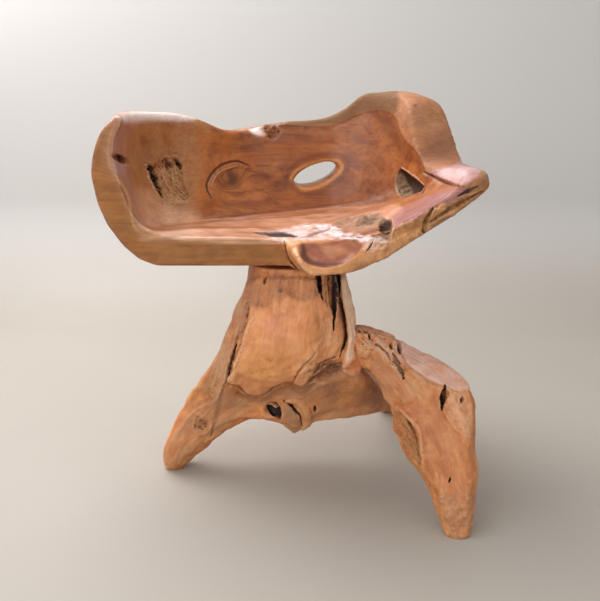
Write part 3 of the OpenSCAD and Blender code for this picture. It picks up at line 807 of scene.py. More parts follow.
def addGroup(tree, group, values):
    node = tree.nodes.new("ShaderNodeGroup")
    node.node_tree = group
    for label, value in values.items():
        if isinstance(value, tuple):
            node.inputs[label].default_value = (*value, 1)
        elif isinstance(value, (int, float)):
            node.inputs[label].default_value = value
        else:
            tree.links.new(value, node.inputs[label])
    return node


def newMaterial(name):
    material = bpy.data.materials.new(name)
    material.use_nodes = True
    tree = material.node_tree
    return material, tree, tree.nodes["Principled BSDF"]


def makeWood(name, s):
    material, tree, shader = newMaterial(name)
    figure = addGroup(tree, woodFigure, {
        "Light": s["light"], "Middle": s["middle"], "Deep": s["deep"],
        "Ring Gap": s["ringGap"], "Ring Strength": s["rings"], "Streak Strength": s["streaks"],
        "Blotch Strength": s["blotches"], "Wrinkle Strength": s["wrinkles"],
        "Fine Strength": s["fineLines"],
    })
    marks = addGroup(tree, woodMarks, {
        "Color": figure.outputs["Color"], "Streak": figure.outputs["Streak"],
        "Edge Light": s["edgeLight"], "Hollow Shade": s["hollowShade"], "Polish": s["polish"],
        "Coat": s["coat"],
    })
    addBump(tree, figure.outputs["Height"], s["bump"], s["bumpHeight"], shader)
    tree.links.new(marks.outputs["Color"], shader.inputs["Base Color"])
    tree.links.new(marks.outputs["Roughness"], shader.inputs["Roughness"])
    tree.links.new(marks.outputs["Coat"], shader.inputs["Coat Weight"])
    shader.inputs["Coat Roughness"].default_value = s["coatRoughness"]
    shader.inputs["Specular IOR Level"].default_value = s["specular"]
    return material


seatWood = makeWood("oiled seat teak", {
    "light": paint(206, 130, 66), "middle": paint(164, 92, 44), "deep": paint(116, 56, 26),
    "ringGap": 0.011, "rings": 0.26, "streaks": 0.40, "blotches": 0.45, "wrinkles": 0.12,
    "fineLines": 0.6, "edgeLight": 0.34, "hollowShade": 0.6, "polish": 0.30, "bump": 0.22,
    "bumpHeight": 0.0012, "coat": 0.24, "coatRoughness": 0.22, "specular": 0.26,
})
rootWood = makeWood("smoothed root teak", {
    "light": paint(246, 182, 120), "middle": paint(222, 138, 76), "deep": paint(176, 98, 48),
    "ringGap": 0.016, "rings": 0.08, "streaks": 0.12, "blotches": 0.60, "wrinkles": 0.26,
    "fineLines": 0.35, "edgeLight": 0.45, "hollowShade": 0.75, "polish": 0.42, "bump": 0.5,
    "bumpHeight": 0.0012, "coat": 0.14, "coatRoughness": 0.35, "specular": 0.40,
})


# Metal and dowels

def makeMetal(name, s):
    material, tree, shader = newMaterial(name)
    place = tree.nodes.new("ShaderNodeTexCoord").outputs["Object"]
    cloud = addNoise(tree, place, s["cloudScale"], 4, 0.6)
    fine = addNoise(tree, addScaled(tree, place, s["brush"]), s["brushScale"], 3, 0.6)
    colour = addMix(tree, "MIX", addRange(tree, cloud, 0.35, 0.68), s["dark"], s["light"])
    tree.links.new(colour, shader.inputs["Base Color"])
    tree.links.new(addRange(tree, fine, 0.3, 0.7, s["smooth"], s["dull"]), shader.inputs["Roughness"])
    addBump(tree, fine, s["bump"], s["bumpHeight"], shader)
    shader.inputs["Metallic"].default_value = 1.0
    return material


def makeDowelWood(s):
    material, tree, shader = newMaterial("turned dowel wood")
    place = tree.nodes.new("ShaderNodeTexCoord").outputs["Object"]
    streak = addNoise(tree, addScaled(tree, place, s["stretch"]), s["scale"], 4, 0.6)
    colour = addMix(tree, "MIX", addRange(tree, streak, 0.35, 0.65), s["dark"], s["light"])
    tree.links.new(colour, shader.inputs["Base Color"])
    tree.links.new(addRange(tree, streak, 0.3, 0.7, s["smooth"], s["dull"]), shader.inputs["Roughness"])
    return material


zinc = makeMetal("zinc plated steel", {
    "dark": (0.36, 0.36, 0.35), "light": (0.58, 0.57, 0.54), "cloudScale": 60, "brush": (1, 0.2, 1),
    "brushScale": 900, "smooth": 0.28, "dull": 0.45, "bump": 0.15, "bumpHeight": 0.0004})
ballSteel = makeMetal("polished ball steel", {
    "dark": (0.55, 0.55, 0.56), "light": (0.72, 0.72, 0.73), "cloudScale": 200, "brush": (1, 1, 1),
    "brushScale": 1500, "smooth": 0.10, "dull": 0.2, "bump": 0.15, "bumpHeight": 0.0004})
screwSteel = makeMetal("plated screw steel", {
    "dark": (0.24, 0.23, 0.21), "light": (0.42, 0.40, 0.36), "cloudScale": 250, "brush": (1, 1, 0.3),
    "brushScale": 1200, "smooth": 0.30, "dull": 0.5, "bump": 0.15, "bumpHeight": 0.0004})
dowelWood = makeDowelWood({
    "dark": paint(150, 112, 70), "light": paint(205, 168, 120), "stretch": (0.08, 1, 1), "scale": 300,
    "smooth": 0.45, "dull": 0.65})
for node, material in (
        ("upper_bearing_plate", zinc), ("lower_bearing_plate", zinc), ("bearing_eyelet", zinc),
        ("bearing_balls", ballSteel), ("upper_plate_screws", screwSteel),
        ("lower_plate_screws", screwSteel), ("right_leg_dowels", dowelWood),
        ("back_leg_dowels", dowelWood)):
    nodes[node].data.materials.clear()
    nodes[node].data.materials.append(material)
print("materials made")


# The carving of one piece, from its solid to its finished skin

def awayFrom(skin, planes):
    # 0 on the sawn faces, each an axis, its height and a reach, and 1 away from them
    free = np.ones(len(skin["co"]))
    for axis, height, reach in planes:
        free *= smoothStep(np.abs(skin["co"][:, axis] - height), reach / 3, reach)
    return free


# Painted shade for narrow hollows, clefts and holes, in a dark colour
paintedShadeSettings = {
    "lift": 0.0008,  # metres above the skin, where a look out starts
    "tilt": 1.1,
    "reach": 0.022,
    "closed": 0.30,  # share of the reach that is open where the wood is darkest
    "open": 0.62,  # and where it starts to darken
    "colour": paint(40, 27, 19),
    "strength": 0.92,
}


def paintHollowShade(skin, s):
    # Painted shade where little light gets in: each point looks out five ways for wood close by
    piece = skin["piece"]
    bpy.context.view_layer.update()
    openness = np.zeros(len(skin["co"]))
    for i, (place, normal) in enumerate(zip(skin["co"], skin["no"])):
        out = Vector(normal)
        side = out.orthogonal().normalized()
        start = Vector(place) + out * s["lift"]
        ways = [out] + [out + s["tilt"] * w for w in (side, -side, out.cross(side), -out.cross(side))]
        for way in ways:
            hit, found, facing, face = piece.ray_cast(start, way.normalized(), distance=s["reach"])
            openness[i] += ((found - start).length / s["reach"] if hit else 1.0) / len(ways)
    mark = 1 - smoothStep(openness, s["closed"], s["open"])
    # the painted shade, darker where the wood closes in
    layTint(skin["tint"], s["colour"], mark * s["strength"])
    skin["shine"] *= 1 - mark


def carveWood(node, name, s, features):
    piece = woodSkin(node, name, s["grid"], skinSettings)
    for times in s["refine"]:
        skin = readSkin(piece)
        chosen = np.zeros(len(skin["co"]), bool)
        for f in features:
            if f.get("fine", 0) >= times:
                chosen |= markOf(skin, f) > carveSettings["finer"]
        if chosen.any():
            refine(piece, chosen)
    skin = readSkin(piece)
    carve(skin, features)
    free = awayFrom(skin, s["sawn"])
    for height, size in s["uneven"]:
        waves = roughness3d(skin["co"], size, 2, size * 90)  # each size has a seed of its own
        skin["co"] += skin["no"] * (height * waves * free)[:, None]
    corners = np.array([tuple(corner) for corner in nodes[node].bound_box])
    skin["co"] = np.clip(skin["co"], corners.min(axis=0), corners.max(axis=0))
    writeSkin(skin)
    # painted shade in narrow hollows, clefts and holes
    paintHollowShade(skin, paintedShadeSettings)
    print(name, "carved:", sum(len(f.vertices) - 2 for f in piece.data.polygons), "triangles")
    return piece, skin


# Seat

seatFront = 0.143  # the sawn face, in front of the middle
seatSettings = {
    "grid": 0.0042, "refine": (1, 2),
    "uneven": [(0.0011, 0.045), (0.0003, 0.012)],  # height and size of the waves that carving leaves
    "sawn": [(1, -seatFront, 0.008), (2, 0.408, 0.008)],  # axis, place on it and reach of each cut
}
sawnSettings = {
    "facing": (0.86, 0.97),  # how squarely a point faces the front, from not on the cut to on it
    "near": 0.006,  # metres from the cut's plane
    "colour": paint(166, 118, 72), "strength": 0.8, "mottleLevel": 0.7, "mottle": 0.3,
    "mottleSize": 0.02, "seed": 4.0, "dull": 0.7,
}


def ringPath(centre, across, up, turn, corners=8):
    # A closed oval round a place, in an upright plane
    points = []
    c, s = math.cos(turn), math.sin(turn)
    for i in range(corners + 1):
        angle = 2 * math.pi * i / corners
        a, b = across * math.cos(angle), up * math.sin(angle)
        points.append((centre[0] + a * c - b * s, centre[1], centre[2] + a * s + b * c))
    return points


seatFeatures = [
    area("lobe wood", 16, [(114, 118), (125, 113), (145, 110), (180, 111), (195, 118), (212, 131),
         (207, 150), (202, 180), (199, 205), (197, 221), (165, 225), (137, 234), (129, 212), (122, 186),
         (108, 160), (108, 140)], (200, 148, 100), 0.75, mottle=0.5),
    area("lobe cloud", 30, [(124, 122), (150, 116), (190, 122), (204, 140), (196, 178), (160, 190),
         (134, 176), (122, 150)], (150, 92, 48), 0.2, mottle=1.2, mottleSize=50),
    # painted sheen along the lobe's lit left edge
    area("lobe edge", 20, [(112, 120), (136, 116), (128, 140), (126, 160), (134, 190), (144, 216),
         (142, 236), (126, 196), (104, 160)], (190, 140, 132), 0.85, mottle=0.3),
    # painted light on the lower lobe, which faces up
    area("lobe foot light", 24, [(138, 190), (152, 194), (168, 206), (196, 212), (196, 222), (162, 228),
         (146, 232), (140, 214)], (234, 180, 146), 0.85, mottle=0.4),
    # painted highlight on the lobe's top edge
    area("lobe top light", 12, [(120, 112), (145, 108), (180, 109), (196, 117), (184, 121), (150, 120),
         (126, 123)], (250, 228, 222), 0.95),
    area("amber band", 20, [(196, 128), (214, 132), (236, 134), (222, 160), (206, 176), (206, 204),
         (194, 218), (192, 190), (198, 160)], (186, 106, 34), 0.6, mottle=0.9),
    # painted highlight on the lit seat floor
    area("seat floor", 10, [(140, 238), (200, 220), (250, 217), (300, 214), (345, 209), (392, 203),
         (404, 214), (380, 226), (340, 236), (300, 242), (241, 243), (199, 242), (160, 242)],
         (234, 178, 146), 0.8, mottle=0.5),
    # painted light along the back of the seat floor
    line("floor back light", [(230, 218), (280, 212), (330, 208), (360, 207)], [2, 8, 10, 3],
         (226, 158, 124), 0.6),
    # painted sheen on the ramp up to the horn
    area("ramp", 10, [(386, 222), (402, 208), (440, 192), (466, 188), (474, 190), (460, 200), (430, 212),
         (410, 222), (392, 232)], (164, 112, 112), 0.9, mottle=0.4),
    # painted shade at the foot of the back wall, where it meets the floor
    area("wall foot", 20, [(236, 198), (300, 190), (350, 182), (396, 180), (400, 198), (350, 205),
         (300, 209), (240, 215), (226, 208)], (128, 72, 44), 0.6, mottle=0.6),
    area("wall tone", 20, [(250, 134), (300, 128), (360, 116), (392, 118), (404, 150), (396, 180),
         (360, 176), (340, 156), (300, 160), (270, 172), (254, 158)], (160, 110, 84), 0.4, mottle=0.6),
    area("back facet", 4, [(286, 121), (345, 105), (366, 88), (425, 86), (445, 100), (456, 135),
         (464, 160), (452, 164), (436, 172), (427, 173), (422, 160), (415, 149), (407, 142), (401, 132),
         (398, 122), (392, 114), (383, 111), (374, 111), (364, 113), (353, 117), (340, 123), (326, 126),
         (300, 126)], (184, 136, 104), 0.85, fine=1, deep=-1.5, matte=0.9, mottle=0.3),
    spot("facet foot", (438, 152), (50, 40), (140, 92, 70), 0.7, turn=20),
    # painted shade on the facet's left part, which faces another way to the light
    area("facet left part", 12, [(290, 121), (345, 106), (366, 88), (396, 88), (397, 112), (383, 111),
         (364, 112), (340, 122), (300, 126)], (120, 86, 56), 0.8),
    # painted shadow on the wall below the facet's edge
    area("wall by the facet", 16, [(376, 114), (392, 117), (400, 134), (414, 152), (421, 165), (404, 160),
         (390, 140), (380, 126)], (120, 66, 38), 0.6),
    area("torn pocket", 4, [(147, 169), (150, 164), (159, 164), (160, 157), (166, 154), (178, 153),
         (184, 160), (182, 172), (183, 186), (190, 199), (176, 203), (162, 202), (156, 191), (152, 182),
         (148, 175)], (200, 154, 110), 0.8, fine=1, deep=4, steep=-35, rough=1.8, fibres=2.2,
         fibreTurn=-42, fibreSize=4, ragged=4.5, raggedSize=16, matte=0.8, mottle=1.1, mottleSize=10),
    # painted shade on the pocket's deep left side
    line("pocket dark side", [(150, 169), (153, 174), (157, 184), (163, 196)], [10, 16, 11, 4],
         (44, 24, 14), 0.95, fine=2, core=0.25, deep=4, ragged=3),
    # painted shade under the pocket's top
    spot("pocket top", (170, 163), (20, 12), (84, 50, 30), 0.6, fine=1, turn=15, deep=4, rough=3,
         roughSize=6, torn=0.6),
    # painted shade along the pocket's jagged left edge
    line("pocket jag", [(149, 165), (154, 169), (150, 173), (157, 177), (154, 183), (161, 188),
         (160, 195)], [3, 7, 4, 8, 4, 7, 2], (40, 22, 12), 0.9, fine=2, core=0.2, deep=3, ragged=2),
    line("pocket splinters", [(162, 170), (166, 182), (174, 194)], [2, 6, 2], (222, 180, 134), 0.8,
         fine=2, deep=-2.5, ragged=2),
    line("second splinter", [(173, 168), (174, 180), (184, 194)], [2, 5, 2], (214, 170, 124), 0.75,
         fine=2, deep=-2, ragged=2),
    # painted shade in a small chip
    spot("pocket chip", (180, 166), (6, 8), (60, 36, 22), 0.85, fine=2, turn=20, deep=3, torn=0.5),
    spot("pocket light knob", (172, 161), (8, 6), (206, 162, 120), 0.8, fine=1, deep=-4, torn=0.5),
    spot("pocket foot", (176, 198), (26, 12), (206, 160, 116), 0.6, fine=1, turn=-15, rough=1.5,
         roughSize=7, torn=0.4),
    line("pocket lip", [(144, 165), (148, 166), (149, 176), (154, 188), (160, 199)], [3, 4, 4, 4, 2],
         (222, 178, 136), 0.8, fine=2, deep=-1.5, ragged=1),
    spot("slit knot", (121, 159), (21, 7.5), (92, 50, 24), fine=1, turn=-24, core=0.1, deep=5, behind=12),
    spot("slit glow", (128, 162), (10, 4), (176, 108, 44), 0.8, turn=-24),
    # painted sheen on the slit's lip
    spot("slit lip", (117, 168), (22, 12), (190, 150, 156), 0.6, turn=-30, deep=-1),
    spot("swirl heart", (230, 180), (34, 27), (84, 38, 6), 0.9, turn=20, core=0.2, deep=1.5, mottle=0.8),
    line("swirl groove", [(250, 166), (236, 161), (220, 166), (210, 177), (207, 188), (212, 198)],
         [2, 7, 8, 9, 8, 3], (80, 38, 16), 0.85, fine=2, core=0.15, deep=2.2),
    line("swirl inner ring", [(246, 170), (236, 168), (226, 172), (219, 180), (217, 190)],
         [1, 4, 5, 4, 1], (100, 52, 24), 0.7, core=0.1, deep=0.8),
    line("swirl lip", [(240, 165), (222, 171), (214, 180), (212, 190)], [1, 5, 5, 1], (184, 118, 70), 0.7,
         fine=2, deep=-1.2),
    spot("amber under the swirl", (216, 203), (30, 14), (150, 78, 8), 0.85, turn=10, mottle=1),
    spot("amber right of the swirl", (256, 196), (30, 14), (196, 122, 72), 0.5, turn=4, mottle=1),
    line("swirl branch", [(243, 167), (252, 171), (262, 172)], [1, 5, 1], (104, 56, 34), 0.7),
    spot("dark stain", (281, 186), (26, 18), (80, 46, 42), 0.8, turn=-30, mottle=0.6),
    spot("stain by the swirl", (262, 177), (30, 16), (112, 62, 48), 0.5, turn=10, mottle=0.8),
    spot("stain above the swirl", (245, 148), (46, 16), (118, 70, 46), 0.45, turn=-6, mottle=0.8),
    # painted highlight round the window's rim
    line("window rim", [(291, 178), (300, 187), (308, 189), (322, 185), (336, 176), (342, 167),
         (338, 161), (328, 160), (310, 164), (297, 170), (291, 178)], [10] * 11, (206, 140, 80), 0.85,
         core=0.5),
    line("window shade", [(286, 180), (298, 192), (312, 194), (326, 189), (341, 178), (348, 166),
         (342, 156), (328, 154), (308, 158), (292, 167), (286, 180)], [16] * 11, (112, 60, 44), 0.5,
         core=0.1),
    spot("window stain", (352, 156), (26, 22), (112, 64, 52), 0.55, mottle=0.8),
    # painted highlight on the lit scoop beside the notch
    spot("notch scoop", (256, 130), (25, 12), (252, 230, 224), 0.9, turn=-28, deep=5),
    spot("notch lump", (272, 131), (16, 19), (104, 66, 36), 0.9, fine=1, turn=20, core=0.6, deep=3,
         rough=4, roughSize=9, torn=0.3, matte=0.7, mottle=0.9, mottleSize=8),
    spot("small knot", (370, 134), (6, 4), (92, 42, 26), 0.8),
    spot("facet knot", (415, 106), (6, 4), (146, 78, 48), 0.8),
    # painted shade in the three sided pocket
    area("three sided pocket", 3, [(400, 169), (412, 176), (423, 186), (423, 192), (413, 195), (402, 196),
         (397, 187), (397, 178)], (58, 34, 20), 0.97, fine=1, deep=3, ragged=1, matte=0.95),
    area("pocket grey", 5, [(396, 176), (402, 174), (407, 182), (412, 193), (402, 199), (395, 190)],
         (150, 120, 90), 0.9, fine=1, rough=1, mottle=1, mottleSize=10),
    line("pocket edge", [(402, 168), (413, 175), (424, 185)], [3, 5, 2], (186, 122, 80), 0.8, fine=2,
         deep=-1.5),
    # painted shade in the crease under the shelf
    line("shelf crease", [(423, 172), (434, 177), (446, 182), (466, 187)], [3, 8, 8, 3], (110, 58, 42),
         0.7, fine=1, core=0.1, deep=5),
    # painted sheen on the shelf, which faces up
    area("shelf", 6, [(432, 173), (452, 166), (462, 160), (474, 166), (486, 168), (478, 176), (466, 184),
         (448, 180)], (204, 168, 174), 0.9, mottle=0.3),
    # painted shade in the horn's slot
    line("horn slot", [(458, 196), (468, 191), (479, 186)], [3, 10, 3], (74, 42, 26), 0.95, fine=2,
         core=0.15, deep=3, behind=20),
    area("horn end bark", 5, [(464, 187), (476, 178), (486, 166), (494, 186), (486, 192), (474, 190)],
         (164, 130, 98), 0.85, fine=1, rough=1.6, roughSize=10, matte=0.6, mottle=0.7),
    area("bark band", 6, [(388, 238), (396, 226), (412, 221), (431, 209), (456, 200), (474, 192),
         (492, 188), (482, 204), (456, 218), (425, 236), (398, 256), (376, 264)], (196, 142, 92), 0.8,
         fine=1, rough=4.5, roughSize=20, fibres=2.2, fibreTurn=32, fibreSize=9, matte=0.6, mottle=0.7,
         mottleSize=20),
    # painted shadow under the step in the bark
    line("bark step", [(433, 208), (428, 218), (424, 232)], [6, 13, 10], (104, 66, 38), 0.75, fine=2,
         core=0.1, deep=5),
    line("bark seam", [(431, 222), (452, 208), (482, 192)], [4, 14, 8], (120, 80, 50), 0.6, fine=1,
         core=0.1, deep=4, ragged=2),
    spot("bark knot", (442, 208), (12, 8), (206, 140, 80), 0.6, fine=1, turn=40, deep=-3),
    # painted shade in the front hole
    spot("front hole", (385, 226), (12, 18), (58, 36, 20), 0.98, fine=1, turn=15, core=0.6, deep=4,
         torn=0.2, matte=1, behind=30),
    line("front hole edge", [(391, 215), (394, 226), (391, 238)], [2, 5, 2], (216, 166, 118), 0.7, fine=2,
         deep=-1),
    area("grey hollow", 6, [(331, 228), (340, 219), (356, 215), (378, 212), (384, 217), (378, 228),
         (362, 232), (342, 233)], (140, 110, 88), 0.92, fine=1, rough=1.6, roughSize=12, fibres=1,
         fibreTurn=12, ragged=4, matte=0.95, mottle=0.6, mottleSize=15),
    spot("hollow dark", (366, 221), (26, 11), (66, 44, 32), 0.85, turn=15, torn=0.4, mottle=0.8,
         mottleSize=12),
    # pale torn fibres with a painted pinkish sheen on them
    area("torn fibres and sheen", 5, [(266, 234), (284, 228), (306, 224), (330, 224), (346, 233), (372, 236),
         (388, 241), (372, 248), (356, 240), (330, 239), (300, 241), (276, 240)], (250, 226, 228), 0.9,
         fine=1, fibres=2, fibreTurn=-6, fibreSize=5, ragged=3, matte=0.5, mottle=0.9, mottleSize=14),
    # painted shade in the crack
    line("crack", [(253, 232), (268, 233.5), (284, 234), (297, 236)], [2, 8, 16, 4], (48, 30, 24), 0.97,
         fine=1, core=0.5, deep=3, matte=0.9, behind=20),
    line("fibre dark", [(300, 238), (316, 233), (330, 228), (334, 224)], [1, 7, 8, 2], (110, 74, 64),
         0.75, fine=1, core=0.2, deep=2, ragged=1),
    area("burl ring", 3, [(285, 241), (300, 240), (330, 239), (364, 242), (390, 240), (420, 228),
         (405, 254), (378, 269), (347, 280), (314, 280), (299, 271), (289, 258)], (230, 166, 112), 0.85,
         mottle=0.3),
    area("burl", 4, [(299, 245), (320, 241), (340, 240), (356, 241), (363, 245), (358, 253), (352, 258),
         (340, 265), (326, 268), (312, 265), (302, 259)], (146, 82, 62), 0.95, fine=1, deep=1,
         mottle=0.8),
    # painted shade on the burl's lower left side
    line("burl dark side", [(303, 246), (305, 256), (312, 262), (326, 265), (344, 262)],
         [14, 18, 12, 8, 3], (80, 36, 24), 0.85, fine=1, core=0.1),
    spot("burl glow", (338, 250), (26, 9), (190, 122, 92), 0.5, turn=8, mottle=0.6),
    # painted shadow in the groove round the burl
    line("burl groove", [(284, 241), (286, 252), (290, 261), (298, 270), (310, 278)], [3, 4.5, 4.5, 4, 2],
         (96, 58, 34), 0.9, fine=2, core=0.1, deep=3),
    line("fibre line", [(306, 230), (322, 227), (340, 227)], [2, 6, 2], (126, 90, 80), 0.7, fine=1,
         core=0.2, deep=2, ragged=1.5),
    line("second fibre line", [(330, 237), (348, 235), (366, 238)], [2, 7, 2], (132, 96, 84), 0.65,
         fine=1, core=0.2, deep=2, ragged=1.5),
    area("crackle", 4, [(364, 246), (372, 238), (386, 236), (392, 242), (378, 250), (366, 252)],
         (222, 186, 166), 0.75, fine=1, rough=2.6, roughSize=6, ragged=2, matte=0.8, mottle=1,
         mottleSize=8),
    line("crackle line", [(366, 252), (371, 245), (374, 239)], [1, 4, 1], (92, 60, 44), 0.8, fine=2,
         deep=3),
    # painted highlight along the lit inner edge of the sawn face
    line("sawn rim", [(117, 121), (110, 136), (108, 156), (113, 171), (122, 185), (128, 197), (131, 213),
         (135, 228), (147, 236)], [2, 6, 7, 7, 7, 7, 6, 6, 3], (222, 176, 126), 0.75, fine=1, core=0.2),
    # painted highlight along the front edge
    line("front rim", [(150, 237), (190, 240), (240, 243), (284, 243)], [4, 6, 6, 3], (240, 200, 164),
         0.75, core=0.2),
    path("back knot", [(-0.15, 0.24, 0.59), (-0.144, 0.24, 0.592)], [30, 30], (96, 50, 26), 0.85,
         core=0.1, deep=2, ragged=2),
    path("back knot ring", ringPath((-0.147, 0.24, 0.591), 0.027, 0.018, 0.2), [7] * 9, (196, 132, 78),
         0.6, core=0.1, deep=-1.2, ragged=2),
    # painted shade in the back cracks
    path("back crack", [(-0.25, 0.2, 0.5), (-0.17, 0.25, 0.508), (-0.09, 0.28, 0.5),
         (-0.01, 0.29, 0.504)], [1, 6, 5, 1], (64, 38, 24), 0.9, core=0.2, deep=4, ragged=1.2),
    path("second back crack", [(0.09, 0.28, 0.6), (0.15, 0.26, 0.606), (0.2, 0.22, 0.6)], [1, 5, 1],
         (72, 42, 26), 0.85, core=0.2, deep=3, ragged=1),
    path("back hollow", [(0.17, 0.22, 0.52), (0.215, 0.18, 0.53)], [34, 20], (120, 84, 56), 0.85,
         core=0.2, deep=6, rough=2.5, roughSize=9, ragged=4, matte=0.8, mottle=0.8, mottleSize=12),
    path("back bark", [(-0.08, 0.26, 0.45), (0.02, 0.27, 0.446), (0.12, 0.24, 0.45)], [10, 40, 12],
         (170, 122, 82), 0.7, core=0.2, deep=-2, rough=3, roughSize=14, ragged=6, matte=0.6, mottle=0.9,
         mottleSize=15),
    # painted shade in the crease where the wall meets the floor
    line("floor line", [(200, 219), (250, 214), (300, 209), (340, 204), (384, 199)], [2, 8, 10, 8, 2],
         (116, 56, 34), 0.7, core=0.1, deep=1),
]


def stainSawnFace(skin, s):
    # The flat cut at the front left is smooth, duller and more yellow than the carved wood
    near = np.abs(skin["co"][:, 1] + seatFront) < s["near"]
    mark = smoothStep(-skin["no"][:, 1], *s["facing"]) * near
    on = mark > carveSettings["least"]
    strength = mark * s["strength"]
    clouds = roughness3d(skin["co"][on], s["mottleSize"], 3, s["seed"])
    strength[on] *= np.clip(s["mottleLevel"] + s["mottle"] * clouds, 0, 1)
    layTint(skin["tint"], s["colour"], strength)
    skin["shine"] *= 1 - s["dull"] * mark


seat, seatSkin = carveWood("seat_bowl", "carvedSeat", seatSettings, seatFeatures)
stainSawnFace(seatSkin, sawnSettings)
finishWood(seat, seatSkin, logGrain(seatSkin, seatGrain), "seat", "seat_bowl", seatWood)


# Root base

